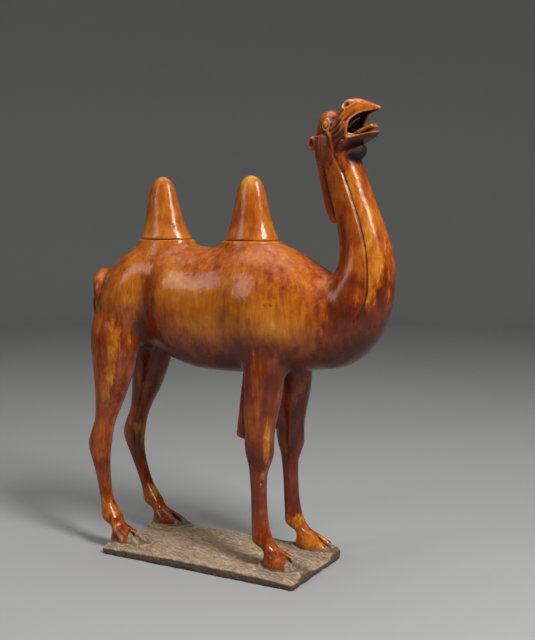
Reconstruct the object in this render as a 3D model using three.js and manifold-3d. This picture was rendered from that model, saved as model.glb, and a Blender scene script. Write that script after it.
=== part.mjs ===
// A tomb camel in amber-glazed earthenware: a standing two-humped camel with its head raised and its
// mouth open. The figure, its two loose humps and the clay slab under its feet are separate pieces.
// Units are millimetres: +X towards the head, +Y towards the camel's left, +Z up from the slab's underside.

import * as THREE from 'three';
import { mergeVertices } from 'three/addons/utils/BufferGeometryUtils.js';
import Module from 'manifold-3d';

const wasm = await Module();
wasm.setup();

// Driving dimensions
const SLAB_LENGTH = 431;
const SLAB_WIDTH = 211;
const SLAB_THICKNESS = 15;
const SLAB_CORNER = 9;
const SLAB_CHAMFER = 2.5;
const GAP = 0.3; // between pieces that rest on each other
const SOLE = SLAB_THICKNESS + GAP;
const FIGURE_SHIFT = 12; // the figure stands this far left of the slab's middle line
// from the figure's middle plane to the middle of a leg, at its top and at its foot
const LEG_TOP_OUT = { fore: 50, hind: 52 };
const FOOT_OUT = { foreRight: 62, foreLeft: 72, hind: 72 };
const LEFT_HOCK_BACK = 15; // the left hind leg stands with its hock this much further back
const HOCK_BACK_SPAN = { fromFoot: [60, 190], toHip: [200, 380] }; // heights where that comes and goes
const TOE_CLEFT = { ahead: 14, depth: 14, width: 7, top: 44 };
const FRINGE_OUT = 52;
const FRINGE_SPREAD = 0.04; // how far the fringe moves out per millimetre down
const FRINGE_SLOPE = 0.25; // how far its ends fall towards the front
const TAIL_SLOPE = 0.3;
const REAR_SEAT = { x: -131, z: 622 };
const FRONT_SEAT = { x: 65, z: 619 };
const HUMP_BASE = { along: 54, across: 41 };
const FRONT_HUMP_LEAN = 0.15; // share of the rear hump's lean backwards
const SEAT = { ledge: 6, depth: 26, flare: 1.12 };
const HEAD_AT = { x: 218, z: 800 };
const HEAD_TURN_AT = 232; // the upright line, on the middle plane, that the head turns about
const HEAD_PITCH = THREE.MathUtils.degToRad(30);
const HEAD_TURN = THREE.MathUtils.degToRad(-10); // towards the camel's right
const CHEEK_FLAP_OUT = 25;
// How finely each form is divided, [sides, rows], and how square its sections are (2 is round)
const DETAIL = {
  torso: [26, 20],
  neck: [18, 17],
  napeLock: [10, 12],
  leg: [12, 22],
  fringe: [8, 6],
  tail: [10, 14],
  skull: [20, 20],
  mouth: [12, 9],
  jaw: [14, 10],
  tongue: [8, 6],
  throatTuft: [10, 6],
  cheekFlap: [10, 8],
  hump: [18, 12],
  ball: [10, 8],
  seat: 22,
};
const SQUARENESS = { torso: 2.15, neck: 2.1, skull: 2.8, jaw: 2.4, tongue: 2.6, cheekFlap: 3 };

// Rows of the station tables, from one end of each form to the other
// torso: x, top, bottom, half width
const TORSO = [
  [-289, 498, 474, 12],
  [-279, 532, 436, 38],
  [-260, 556, 404, 57],
  [-234, 580, 395, 72],
  [-203, 604, 402, 82],
  [-163, 617, 408, 87],
  [-115, 616, 390, 91],
  [-60, 611, 373, 94],
  [-20, 608, 369, 95],
  [30, 614, 368, 95],
  [80, 618, 369, 95],
  [125, 616, 371, 94],
  [165, 599, 375, 91],
  [205, 576, 382, 84],
  [245, 553, 392, 72],
  [280, 530, 412, 53],
  [306, 500, 446, 26],
];
// neck: x, z, lean of the section in degrees, reach forward, reach back, half width
const NECK = [
  [165, 478, 82, 96, 92, 82],
  [222, 480, 66, 97, 88, 80],
  [260, 500, 43, 87, 76, 72],
  [285, 535, 21, 70, 54, 59],
  [297, 573, 5, 58, 48, 50],
  [296, 610, -8, 51, 45, 43],
  [286, 652, -14, 44, 41, 39],
  [273, 700, -16, 38, 40, 36],
  [260, 742, -17, 35, 39, 34],
  [248, 780, -20, 32, 36, 32],
  [238, 812, -24, 22, 24, 22],
];
// legs, from inside the body to the sole: z, x, reach forward, reach back, half width
const FORELEG = [
  [470, 122, 34, 34, 16],
  [440, 122, 42, 42, 32],
  [400, 124, 41, 42, 35],
  [341, 122, 37, 38, 33],
  [300, 117, 33, 34, 30],
  [264, 115, 28, 29, 27],
  [242, 115, 27.5, 29, 26],
  [224, 115, 27, 26, 25],
  [205, 114, 21.5, 20, 20],
  [185, 113, 16.5, 16.5, 17],
  [150, 114.5, 14.5, 15.5, 15.5],
  [115, 116, 15, 16, 15.5],
  [85, 119, 17, 17, 17.5],
  [67, 123, 20, 20, 20],
  [56, 132, 19, 19, 18],
  [48, 141, 21, 16, 18],
  [41, 150, 30, 21, 21],
  [31, 159, 42, 33, 26],
  [22, 165, 46, 40, 28],
  [SOLE, 166, 45, 40, 27],
];
const HINDLEG = [
  [500, -214, 40, 40, 12],
  [470, -213, 52, 55, 32],
  [430, -212, 55, 60, 41],
  [395, -215, 52, 54, 40],
  [366, -218, 46, 46, 37],
  [335, -222, 38, 38, 33],
  [300, -228, 29, 30, 28],
  [262, -238, 22, 22, 22],
  [236, -245, 22, 25, 20],
  [212, -250, 24, 28, 19],
  [192, -250, 21, 25, 18],
  [162, -246, 16, 17, 16],
  [129, -240, 13, 13.5, 14.5],
  [100, -234, 13, 13, 14.5],
  [80, -227, 17, 17, 17],
  [63, -220, 21, 22, 20],
  [52, -212, 18, 18.5, 17.5],
  [44, -203, 20, 17, 18],
  [38, -194, 30, 22, 22],
  [29, -185, 42, 33, 26],
  [21, -180, 46, 40, 28],
  [SOLE, -180, 45, 40, 27],
];
// hump: height over the seat, middle's shift back, half length; across it is narrower by a fixed share
const HUMP = [
  [GAP, 0, 54],
  [5, -1, 53.5],
  [14, -2, 49.5],
  [30, -4.5, 43],
  [48, -6, 38.5],
  [68, -7, 34],
  [90, -8, 29],
  [106, -8, 23.5],
  [116, -8, 17],
  [122, -8, 9],
  [124, -8, 2],
];
// head, along its own axis: distance, top, bottom, half width, narrowing towards the top
const UPPER_HEAD = [
  [-22, -6, -28, 14, 0],
  [-14, 4, -36, 21, 0],
  [-4, 17, -42, 26, 0.05],
  [6, 29, -44, 28, 0.1],
  [15, 38, -44, 30, 0.2],
  [24, 43, -42, 30.5, 0.2],
  [33, 41.5, -40, 30, 0.2],
  [42, 36.5, -38, 29.5, 0.25],
  [50, 27, -33, 30, 0.3],
  [58, 24, -25, 31.5, 0.35],
  [64, 23, -15, 31.5, 0.35],
  [69, 26.5, -9.5, 30, 0.35],
  [75, 31, -6.5, 27.5, 0.35],
  [82, 32.3, -5, 24.5, 0.35],
  [91, 28.5, -4, 20.5, 0.3],
  [101, 20.5, -6, 16, 0.25],
  [111, 8.5, -9.5, 12, 0.1],
  [120, -4, -13, 8, 0],
  [126, -11.5, -14.5, 3, 0],
];
const LOWER_JAW = [
  [16, -24, -44, 24, 0],
  [30, -24, -44, 27, 0],
  [43, -24, -45, 29, -0.1],
  [54, -28, -45, 28, -0.15],
  [62, -33, -46, 25, -0.15],
  [74, -38.5, -48, 20, -0.15],
  [85, -42, -49.5, 15.5, -0.1],
  [94, -44.5, -50, 10.5, 0],
  [100, -46, -49.5, 5, 0],
  [102, -47, -48.5, 2, 0],
];
const TONGUE = [
  [46, -24, -36, 10, 0],
  [60, -22.5, -38, 12, 0],
  [74, -24.5, -42, 12, 0],
  [88, -28.5, -44, 10.5, 0],
  [98, -32.5, -42, 8, 0],
  [101, -35, -41, 4, 0],
];
const MOUTH_HOLLOW = [
  [38, -22, -27, 3, 0],
  [46, -14, -32, 14, 0.1],
  [54, -4, -36, 23, 0.2],
  [64, 8, -36, 26, 0.25],
  [76, 16, -36, 23, 0.25],
  [90, 14, -36, 17, 0.2],
  [104, 3, -36, 11, 0.1],
  [114, -7, -30, 6, 0],
  [119, -12, -24, 2, 0],
];
const THROAT_TUFT = [
  [12, -38, -58, 12, 0],
  [20, -40, -63, 17, 0],
  [34, -42, -67, 20, 0],
  [48, -44, -68, 19, 0],
  [58, -45, -66, 13, 0],
  [65, -49, -60, 6, 0],
];
// flap of hair behind the cheek: height and place ahead of the head's origin, reach forward, reach back,
// half thickness
const CHEEK_FLAP = [
  [7, 14, 17, 17, 4],
  [3, 14.5, 19.5, 18.5, 6],
  [-15, 15, 20, 18, 7],
  [-32, 17, 19, 19, 6.5],
  [-42, 21, 12, 14, 4.5],
  [-48, 23, 3, 4, 2],
];
// the lock of mane down the nape: x, z, lean, reach forward, reach back, half width
const NAPE_LOCK = [
  [212, 806, -20, 16, 6, 9],
  [211, 780, -16, 14, 12, 13],
  [218, 750, -14, 12, 12.5, 12.5],
  [225, 715, -14, 12, 13, 12],
  [231, 685, -15, 11, 12, 11],
  [237, 663, -18, 9, 10, 9],
  [242, 652, -30, 5, 6, 5],
];
// tail: x, y, z, half thickness, half width
const TAIL = [
  [-256, 0, 550, 9, 10],
  [-275, -1, 548, 12, 13],
  [-289, -4, 532, 12, 15],
  [-295, -9, 508, 11, 15],
  [-292, -16, 485, 10, 13],
  [-286, -24, 465, 8, 9],
  [-280, -30, 448, 4, 4],
];
// fringe of hair behind each foreleg: z, x, reach forward, reach back, half width
const FRINGE = [
  [420, 92, 18, 8, 9],
  [380, 88, 22, 8, 12],
  [340, 84, 24, 8, 13],
  [300, 80, 24, 8, 13],
  [262, 76, 24, 9, 12],
  [255, 78, 20, 9, 11],
];

// Swellings of the flesh: where, how far they reach along, across and up, and how far they stand out
const SWELLINGS = [
  { at: [118, 82, 478], reach: [62, 60, 78], out: 13 }, // shoulder
  { at: [-212, 66, 480], reach: [58, 60, 80], out: 9 }, // haunch
  { at: [-128, 80, 470], reach: [24, 60, 90], out: -9 }, // hollow of the flank
  { at: [40, 90, 480], reach: [20, 60, 80], out: -5 }, // behind the shoulder
];
// Rounded features on both sides of the head: middle and reach along the head, outwards and up
const FACE = {
  eye: { at: [29, 27, 14], reach: [7, 6, 9] },
  brow: { at: [29, 17, 31], reach: [13, 9, 8] },
  nostril: { at: [80, 13, 22], reach: [10, 6, 7] },
  whiskerLock: { at: [36, 25, -34], reach: [17, 6, 7] },
};
const EAR = { at: [-9, 27, -6], reach: [8, 8, 12] }; // upright, not pitched with the head

// A smooth curve through a table's rows, read at a share of its length
function rowAt(table, share) {
  const last = table.length - 1;
  const place = share * last;
  const i = Math.min(Math.floor(place), last - 1);
  const t = place - i;
  const row = (k) => table[Math.min(Math.max(k, 0), last)];
  return table[0].map((_, c) => {
    const [a, b, d, e] = [row(i - 1)[c], row(i)[c], row(i + 1)[c], row(i + 2)[c]];
    return b + 0.5 * t * (d - a + t * (2 * a - 5 * b + 4 * d - e + t * (3 * (b - d) + e - a)));
  });
}

// A closed form whose sections follow a table: place(row, ahead, aside) gives a point of a section
function loft(table, [sides, rows], place, power = 2) {
  const geometry = new THREE.CylinderGeometry(1, 1, 1, sides, rows);
  const position = geometry.attributes.position;
  const point = new THREE.Vector3();
  for (let i = 0; i < position.count; i++) {
    point.fromBufferAttribute(position, i);
    const row = rowAt(table, 0.5 - point.y);
    const size = Math.hypot(point.x, point.z);
    if (size > 0) {
      const square = Math.abs(point.x / size) ** power + Math.abs(point.z / size) ** power;
      point.multiplyScalar(square ** (-1 / power) / size);
    }
    position.setXYZ(i, ...place(row, size > 0 ? point.x : 0, size > 0 ? point.z : 0));
  }
  return geometry;
}

// A closed geometry as a solid, turned inside out where its faces point inwards
function solid(geometry) {
  const bare = geometry.clone();
  bare.deleteAttribute('normal');
  bare.deleteAttribute('uv');
  const merged = mergeVertices(bare, 1e-3);
  const { array } = merged.attributes.position;
  const index = Uint32Array.from(merged.index.array);
  const corner = (k) => new THREE.Vector3().fromArray(array, 3 * index[k]);
  let volume = 0;
  for (let k = 0; k < index.length; k += 3) {
    volume += corner(k).dot(corner(k + 1).cross(corner(k + 2)));
  }
  if (volume < 0) index.reverse();
  const mesh = new wasm.Mesh({ numProp: 3, vertProperties: Float32Array.from(array), triVerts: index });
  mesh.merge();
  return new wasm.Manifold(mesh);
}

function geometryOf(manifold) {
  const mesh = manifold.getMesh();
  const geometry = new THREE.BufferGeometry();
  geometry.setAttribute('position', new THREE.BufferAttribute(mesh.vertProperties, 3));
  geometry.setIndex(new THREE.BufferAttribute(mesh.triVerts, 1));
  return geometry;
}

const joined = (geometries) => geometries.map(solid).reduce((a, b) => a.add(b));

// Moves every vertex of a geometry by a rule of its place
function shaped(geometry, rule) {
  const position = geometry.attributes.position;
  const point = new THREE.Vector3();
  for (let i = 0; i < position.count; i++) {
    point.fromBufferAttribute(position, i);
    rule(point);
    position.setXYZ(i, ...point);
  }
  return geometry;
}

function swell(point) {
  const side = Math.sign(point.y) || 1;
  for (const { at, reach, out } of SWELLINGS) {
    const away = Math.hypot(
      (point.x - at[0]) / reach[0],
      (side * point.y - at[1]) / reach[1],
      (point.z - at[2]) / reach[2],
    );
    point.y += side * out * Math.exp(-away * away);
  }
}

const endsUp = (row, ahead, aside) => {
  const [x, top, bottom, half, narrowing = 0] = row;
  return [x, aside * half * (1 - narrowing * ahead), (top + bottom) / 2 + (ahead * (top - bottom)) / 2];
};

function leaning(row, ahead, aside) {
  const [x, z, lean, fore, aft, half] = row;
  const reach = ahead > 0 ? ahead * fore : ahead * aft;
  const turn = THREE.MathUtils.degToRad(lean);
  return [x + reach * Math.cos(turn), aside * half, z - reach * Math.sin(turn)];
}

function torso() {
  return shaped(loft(TORSO, DETAIL.torso, endsUp, SQUARENESS.torso), swell);
}

function neck() {
  return loft(NECK, DETAIL.neck, leaning, SQUARENESS.neck);
}

// How far a hock that stands back takes the leg with it at a height
function setBack(z, hockBack) {
  const { fromFoot, toHip } = HOCK_BACK_SPAN;
  const above = THREE.MathUtils.smoothstep(z, ...fromFoot);
  const below = 1 - THREE.MathUtils.smoothstep(z, ...toHip);
  return hockBack * above * below;
}

// Draws the front of a foot in along its middle line, between the two toes
function cleaveToes(point, footX, footY) {
  const ahead = point.x - footX - TOE_CLEFT.ahead;
  if (point.z > TOE_CLEFT.top || ahead < 0) return;
  const aside = (point.y - footY) / TOE_CLEFT.width;
  point.x -= Math.exp(-aside * aside) * Math.min(TOE_CLEFT.depth, ahead);
}

function leg(table, side, topOut, footOut, hockBack = 0) {
  const top = table[0][0];
  const footX = table[table.length - 1][1];
  const geometry = loft(table, DETAIL.leg, (row, ahead, aside) => {
    const [z, x, fore, aft, half] = row;
    const down = THREE.MathUtils.clamp((top - z) / (top - SOLE), 0, 1);
    const out = THREE.MathUtils.lerp(topOut, footOut, Math.sqrt(down));
    const reach = ahead * (ahead > 0 ? fore : aft);
    return [x - setBack(z, hockBack) + reach, side * out + aside * half, z];
  });
  return shaped(geometry, (point) => cleaveToes(point, footX, side * footOut));
}

function fringe(side) {
  const top = FRINGE[0][0];
  return loft(FRINGE, DETAIL.fringe, (row, ahead, aside) => {
    const [z, x, fore, aft, half] = row;
    const out = FRINGE_OUT + (top - z) * FRINGE_SPREAD;
    const reach = ahead * (ahead > 0 ? fore : aft);
    return [x + reach, side * out + aside * half, z - reach * FRINGE_SLOPE];
  });
}

function tail() {
  return loft(TAIL, DETAIL.tail, (row, ahead, aside) => {
    const [x, y, z, thick, half] = row;
    return [x + ahead * thick, y + aside * half, z + ahead * thick * TAIL_SLOPE];
  });
}

// The raised seat that each hump stands on
function seat({ x, z }) {
  const geometry = new THREE.CylinderGeometry(1, SEAT.flare, SEAT.depth, DETAIL.seat, 1);
  geometry.rotateX(Math.PI / 2);
  geometry.scale(HUMP_BASE.along + SEAT.ledge, HUMP_BASE.across + SEAT.ledge, 1);
  geometry.translate(x, 0, z - SEAT.depth / 2);
  return geometry;
}

// Turns the head's forms, made about its own origin, to where it looks
function inHead(geometry, pitch = HEAD_PITCH) {
  geometry.rotateY(-pitch);
  geometry.translate(HEAD_AT.x - HEAD_TURN_AT, 0, HEAD_AT.z);
  geometry.rotateZ(HEAD_TURN);
  geometry.translate(HEAD_TURN_AT, 0, 0);
  return geometry;
}

function ball({ at, reach }, side) {
  const geometry = new THREE.SphereGeometry(1, ...DETAIL.ball);
  geometry.scale(...reach);
  geometry.translate(at[0], side * at[1], at[2]);
  return geometry;
}

function cheekFlap(side) {
  const place = (row, ahead, aside) => {
    const [z, x, fore, aft, half] = row;
    return [x + ahead * (ahead > 0 ? fore : aft), side * CHEEK_FLAP_OUT + aside * half, z];
  };
  return inHead(loft(CHEEK_FLAP, DETAIL.cheekFlap, place, SQUARENESS.cheekFlap), 0);
}

function head() {
  const skull = solid(inHead(loft(UPPER_HEAD, DETAIL.skull, endsUp, SQUARENESS.skull)));
  const hollow = solid(inHead(loft(MOUTH_HOLLOW, DETAIL.mouth, endsUp, SQUARENESS.skull)));
  const rest = [
    inHead(loft(LOWER_JAW, DETAIL.jaw, endsUp, SQUARENESS.jaw)),
    inHead(loft(TONGUE, DETAIL.tongue, endsUp, SQUARENESS.tongue)),
    inHead(loft(THROAT_TUFT, DETAIL.throatTuft, endsUp)),
  ];
  for (const side of [-1, 1]) {
    for (const feature of Object.values(FACE)) {
      rest.push(inHead(ball(feature, side)));
    }
    rest.push(inHead(ball(EAR, side), 0), cheekFlap(side));
  }
  return skull.subtract(hollow).add(joined(rest));
}

function figure() {
  const parts = [torso(), neck(), tail(), seat(REAR_SEAT), seat(FRONT_SEAT)];
  parts.push(loft(NAPE_LOCK, DETAIL.napeLock, leaning));
  for (const side of [-1, 1]) {
    const forefootOut = side > 0 ? FOOT_OUT.foreLeft : FOOT_OUT.foreRight;
    const hockBack = side > 0 ? LEFT_HOCK_BACK : 0;
    parts.push(leg(FORELEG, side, LEG_TOP_OUT.fore, forefootOut));
    parts.push(leg(HINDLEG, side, LEG_TOP_OUT.hind, FOOT_OUT.hind, hockBack));
    parts.push(fringe(side));
  }
  return geometryOf(joined(parts).add(head()).translate([0, FIGURE_SHIFT, 0]));
}

function hump({ x, z }, lean) {
  const narrow = HUMP_BASE.across / HUMP_BASE.along;
  const geometry = loft(HUMP, DETAIL.hump, ([height, back, half], ahead, aside) => [
    x + lean * back + ahead * half,
    FIGURE_SHIFT + aside * half * narrow,
    z + height,
  ]);
  return geometryOf(solid(geometry));
}

function slab() {
  const halfLength = SLAB_LENGTH / 2 - SLAB_CHAMFER;
  const halfWidth = SLAB_WIDTH / 2 - SLAB_CHAMFER;
  const [cornerX, cornerY] = [halfLength - SLAB_CORNER, halfWidth - SLAB_CORNER];
  const outline = new THREE.Shape();
  outline.absarc(cornerX, cornerY, SLAB_CORNER, 0, Math.PI / 2);
  outline.absarc(-cornerX, cornerY, SLAB_CORNER, Math.PI / 2, Math.PI);
  outline.absarc(-cornerX, -cornerY, SLAB_CORNER, Math.PI, Math.PI * 1.5);
  outline.absarc(cornerX, -cornerY, SLAB_CORNER, Math.PI * 1.5, Math.PI * 2);
  const geometry = new THREE.ExtrudeGeometry(outline, {
    depth: SLAB_THICKNESS - 2 * SLAB_CHAMFER,
    bevelThickness: SLAB_CHAMFER,
    bevelSize: SLAB_CHAMFER,
    bevelSegments: 1,
    curveSegments: 3,
  });
  geometry.translate(0, 0, SLAB_CHAMFER);
  return geometryOf(solid(geometry));
}

const amberGlaze = new THREE.MeshStandardMaterial({ color: 0x9a4a14, roughness: 0.18, metalness: 0 });
const humpGlaze = new THREE.MeshStandardMaterial({ color: 0xb06418, roughness: 0.18, metalness: 0 });
const bareClay = new THREE.MeshStandardMaterial({ color: 0x8a7660, roughness: 0.92, metalness: 0 });

function named(name, geometry, material) {
  geometry.computeVertexNormals();
  const mesh = new THREE.Mesh(geometry, material);
  mesh.name = name;
  return mesh;
}

const camel = new THREE.Group();
camel.add(
  named('camel_body', figure(), amberGlaze),
  named('front_hump', hump(FRONT_SEAT, FRONT_HUMP_LEAN), humpGlaze),
  named('rear_hump', hump(REAR_SEAT, 1), humpGlaze),
  named('base_slab', slab(), bareClay),
);

export default camel;
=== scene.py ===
"""A tomb camel in amber-glazed earthenware: the glazed figure, its two loose humps and the clay slab.

The figure is shaped as a modeller would: plain swelling forms are pressed together, the joins are
smoothed over, and the face, the hair and the hooves are then tooled into the surface.
"""

import math

import bmesh
import bpy
import numpy as np
from mathutils import Matrix, Vector, noise


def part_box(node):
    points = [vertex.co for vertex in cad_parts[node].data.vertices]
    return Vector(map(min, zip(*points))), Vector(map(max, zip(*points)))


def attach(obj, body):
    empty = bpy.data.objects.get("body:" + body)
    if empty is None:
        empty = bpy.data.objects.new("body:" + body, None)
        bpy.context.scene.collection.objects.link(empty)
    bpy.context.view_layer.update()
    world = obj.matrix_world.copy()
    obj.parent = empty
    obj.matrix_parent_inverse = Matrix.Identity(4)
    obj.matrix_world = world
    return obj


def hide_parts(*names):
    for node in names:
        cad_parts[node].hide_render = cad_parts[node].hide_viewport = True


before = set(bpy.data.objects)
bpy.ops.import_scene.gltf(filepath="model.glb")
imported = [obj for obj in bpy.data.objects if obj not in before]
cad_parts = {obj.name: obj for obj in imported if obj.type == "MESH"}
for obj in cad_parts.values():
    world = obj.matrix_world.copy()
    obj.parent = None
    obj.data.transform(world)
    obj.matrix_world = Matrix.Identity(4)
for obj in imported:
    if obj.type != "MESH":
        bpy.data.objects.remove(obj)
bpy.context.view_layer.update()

bl_info = {
    "name": "Glazed Camel Figure",
    "version": (1, 0, 0),
    "blender": (4, 5, 0),
    "location": "View3D > Sidebar > Camel",
    "description": "Models a glazed earthenware camel with loose humps on a clay slab",
    "category": "Add Mesh",
}

MM = 0.001  # the tables and the tooling are in millimetres

# Where things stand
SLAB_TOP = 15
SOLE = 15.3
FIGURE_SHIFT = 12
LEG_TOP_OUT = {"fore": 50, "hind": 52}
FOOT_OUT = {"fore_right": 62, "fore_left": 72, "hind": 72}
LEFT_HOCK_BACK = 15
LEGS_END = (300, 400)  # the height over which the joins' smoothing sets in
HOCK_BACK_SPAN = {"from_foot": (60, 190), "to_hip": (200, 380)}
TOE_CLEFT = {"ahead": 10, "depth": 21, "width": 8, "top": 44}
TOE_GROOVE = {"along": (4, 26, 54), "top": 52, "reach": 60, "width": 3.4, "depth": 7}
FRINGE_OUT, FRINGE_SPREAD, FRINGE_SLOPE = 52, 0.04, 0.25
TAIL_SLOPE = 0.3
SEATS = {"rear": (-131, 622), "front": (65, 619)}
HUMP_ALONG, HUMP_ACROSS = 54, 41
SEAM_HEIGHT = 1.3
HUMP_LEAN = {"rear": 1.0, "front": 0.15}
SEAT_LEDGE = 6
SEAT_SPREAD = {"along": 0.005, "across": 0.0095}
HEAD_AT = (218, 800)
HEAD_TURN_AT = 232
HEAD_PITCH = math.radians(30)
HEAD_TURN = math.radians(-10)
CHEEK_FLAP_OUT = 27
# The slab's rounded edges, domed top and unevenness; luting is the clay pressed round the soles
SLAB = {
    "corner": 5, "rim": 2.5, "crown": 17.4, "dome": 5.4, "swells": 1.3, "strokes": 0.8, "crumbs": 0.45,
    "luting": 4.2, "luting_slope": 1.6, "foot_level": 15.9, "foot_reach": (50, 32), "edge": 30,
    "wear": 1.6, "wear_swells": 2.2, "wear_crumbs": 1.2, "least_wear": 0.1,
    "side_facing": (0.3, 0.8),
}
# Round each sole, as shares of the foot's reach: the painted shade, the pushed-up clay and its slope
SOLE_RINGS = {
    "earth": (0.92, 1.04), "luting": (1.0, 1.1), "slope": (1.1, 1.7), "level": 1.25, "uneven": 0.07,
}

# torso: x, top, bottom, half width
TORSO = [
    (-289, 498, 474, 12), (-279, 532, 436, 38), (-260, 556, 404, 57), (-234, 580, 395, 72),
    (-203, 604, 402, 82), (-163, 617, 408, 87), (-115, 616, 390, 91), (-60, 611, 373, 94),
    (-20, 608, 369, 95), (30, 614, 368, 95), (80, 618, 369, 95), (125, 616, 371, 94),
    (165, 599, 375, 91), (205, 576, 382, 84), (245, 553, 392, 72), (280, 530, 412, 53),
    (306, 500, 446, 26),
]
# neck: x, z, lean of the section in degrees, reach forward, reach back, half width
NECK = [
    (165, 478, 82, 96, 92, 82), (222, 480, 66, 97, 88, 80), (260, 500, 43, 87, 76, 72),
    (285, 535, 21, 70, 54, 59), (297, 573, 5, 58, 48, 50), (296, 610, -8, 51, 45, 43),
    (286, 652, -14, 44, 41, 39), (273, 700, -16, 38, 40, 36), (260, 742, -17, 35, 39, 34),
    (248, 780, -20, 32, 36, 32), (238, 812, -24, 22, 24, 22),
]
# legs: z, x, reach forward, reach back, half width
FORELEG = [
    (470, 122, 34, 34, 16), (440, 122, 42, 42, 32), (400, 124, 41, 42, 35), (341, 122, 37, 38, 33),
    (300, 117, 33, 34, 30), (264, 115, 28, 29, 27), (242, 115, 27.5, 29, 26), (224, 115, 27, 26, 25),
    (205, 114, 21.5, 20, 20), (185, 113, 16.5, 16.5, 17), (150, 114.5, 14.5, 15.5, 15.5),
    (115, 116, 15, 16, 15.5), (85, 119, 17, 17.5, 17.5), (66, 123, 20, 20.5, 20),
    (58.5, 129, 19.5, 19, 19), (52, 137, 19.5, 13.5, 17), (46, 144, 25, 17, 19), (40, 151, 31, 23, 22),
    (31, 159, 42, 33, 26), (22, 165, 46, 40, 28), (SOLE, 166, 45, 40, 27),
]
HINDLEG = [
    (500, -214, 40, 40, 12), (470, -213, 52, 55, 32), (430, -212, 55, 60, 41), (395, -215, 52, 54, 40),
    (366, -218, 46, 46, 37), (335, -222, 38, 38, 33), (300, -228, 29, 30, 28), (262, -238, 22, 22, 22),
    (236, -245, 22, 25, 20), (212, -250, 24, 28, 19), (192, -250, 21, 25, 18), (162, -246, 16, 17, 16),
    (129, -240, 13, 13.5, 14.5), (100, -234, 13, 13, 14.5), (80, -227, 17, 17, 17),
    (64, -220, 21, 22.5, 20), (56, -215, 19, 20.5, 18.5), (49, -207, 18.5, 14, 16.5),
    (43, -200, 24, 18, 19), (37, -193, 31, 23.5, 22), (29, -185, 42, 33, 26), (21, -180, 46, 40, 28),
    (SOLE, -180, 45, 40, 27),
]
# hump: height over the seat, middle's shift back, half length
HUMP = [
    (0.3, 0, 51), (1.5, -0.3, 53.6), (5, -1, 53.5), (14, -2, 49.5), (30, -4.5, 43), (48, -6, 38.5),
    (68, -7, 34), (90, -8, 29), (106, -8, 23.5), (116, -8, 17), (122, -8, 9), (124, -8, 2),
]
# head, along its own axis: distance, top, bottom, half width, narrowing towards the top
UPPER_HEAD = [
    (-22, -6, -28, 14, 0), (-14, 4, -36, 21, 0), (-4, 17, -42, 26, 0.05), (6, 29, -44, 28, 0.1),
    (15, 38, -44, 30, 0.2), (24, 43, -42, 30.5, 0.2), (33, 41.5, -40, 30, 0.2),
    (42, 36.5, -38, 29.5, 0.25), (50, 27, -33, 30, 0.3), (58, 24, -25, 31.5, 0.35),
    (64, 23, -15, 31.5, 0.35), (69, 26.5, -9.5, 30, 0.35), (75, 31, -6.5, 27.5, 0.35),
    (82, 32, -5, 24.5, 0.35), (91, 28.1, -4, 20.5, 0.3), (101, 20.5, -6, 16, 0.25),
    (111, 8.5, -9.5, 12, 0.1), (120, -4, -13, 8, 0), (126, -11.5, -14.5, 3, 0),
]
LOWER_JAW = [
    (16, -24, -44, 24, 0), (30, -24, -44, 27, 0), (43, -24, -45, 29, -0.1), (54, -28, -45, 28, -0.15),
    (62, -33, -46, 25, -0.15), (74, -38.5, -48, 20, -0.15), (85, -42, -49.5, 15.5, -0.1),
    (94, -44.5, -50, 10.5, 0), (100, -46, -49.5, 5, 0), (102, -47, -48.5, 2, 0),
]
TONGUE = [
    (46, -24, -34, 10, 0), (60, -24, -34, 12.5, 0), (74, -25.5, -34.5, 13, 0), (88, -28, -36, 12.5, 0),
    (99, -30.5, -38, 11, 0), (101.5, -31, -37.5, 10, 0),
]
MOUTH_HOLLOW = [
    (40, -22, -27, 3, 0), (46, -14, -32, 13, 0.1), (54, -4, -36, 21, 0.15), (64, 7, -36, 24, 0.15),
    (76, 14, -36, 21.5, 0.15), (90, 12, -36, 15.5, 0.15), (104, 2, -36, 9.5, 0.1), (114, -8, -30, 5, 0),
    (119, -12, -24, 2, 0),
]
THROAT_TUFT = [
    (12, -38, -58, 12, 0), (20, -40, -63, 17, 0), (34, -42, -67, 20, 0), (48, -44, -68, 19, 0),
    (58, -45, -66, 13, 0), (65, -49, -60, 6, 0),
]
# flap of hair behind the cheek: height, place ahead, reach forward, reach back, half thickness
CHEEK_FLAP = [
    (7, 14, 17, 17, 4), (3, 14.5, 19.5, 18.5, 6), (-15, 15, 20, 18, 7), (-32, 17, 19, 19, 6.5),
    (-42, 21, 12, 14, 4.5), (-48, 23, 3, 4, 2),
]
# the lock of mane down the nape: x, z, lean, reach forward, reach back, half width
NAPE_LOCK = [
    (212, 806, -20, 16, 6, 9), (211, 780, -16, 14, 12, 13), (218, 750, -14, 12, 12.5, 12.5),
    (225, 715, -14, 12, 13, 12), (231, 685, -15, 11, 12, 11), (237, 663, -18, 9, 10, 9),
    (242, 652, -30, 5, 6, 5),
]
# tail: x, y, z, half thickness, half width
TAIL = [
    (-256, 0, 550, 9, 10), (-275, -1, 548, 12, 13), (-289, -4, 532, 12, 15), (-295, -9, 508, 10.3, 15),
    (-292, -16, 485, 10, 13), (-286, -24, 465, 8, 9), (-280, -30, 448, 4, 4),
]
# the tail's tuft, curled round against the right haunch: x, y, z, half thickness
TAIL_CURL = [
    (-262, -2, 556, 6), (-268, -24, 553, 12), (-262, -44, 541, 15), (-254, -55, 523, 16),
    (-251, -58, 505, 14.5), (-256, -58, 489, 8),
]
# fringe of hair behind each foreleg: z, x, reach forward, reach back, half width
FRINGE = [
    (420, 92, 18, 8, 9), (380, 88, 22, 8, 12), (340, 84, 24, 8, 13), (300, 80, 24, 8, 13),
    (262, 76, 24, 9, 12), (255, 78, 20, 9, 11),
]
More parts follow.
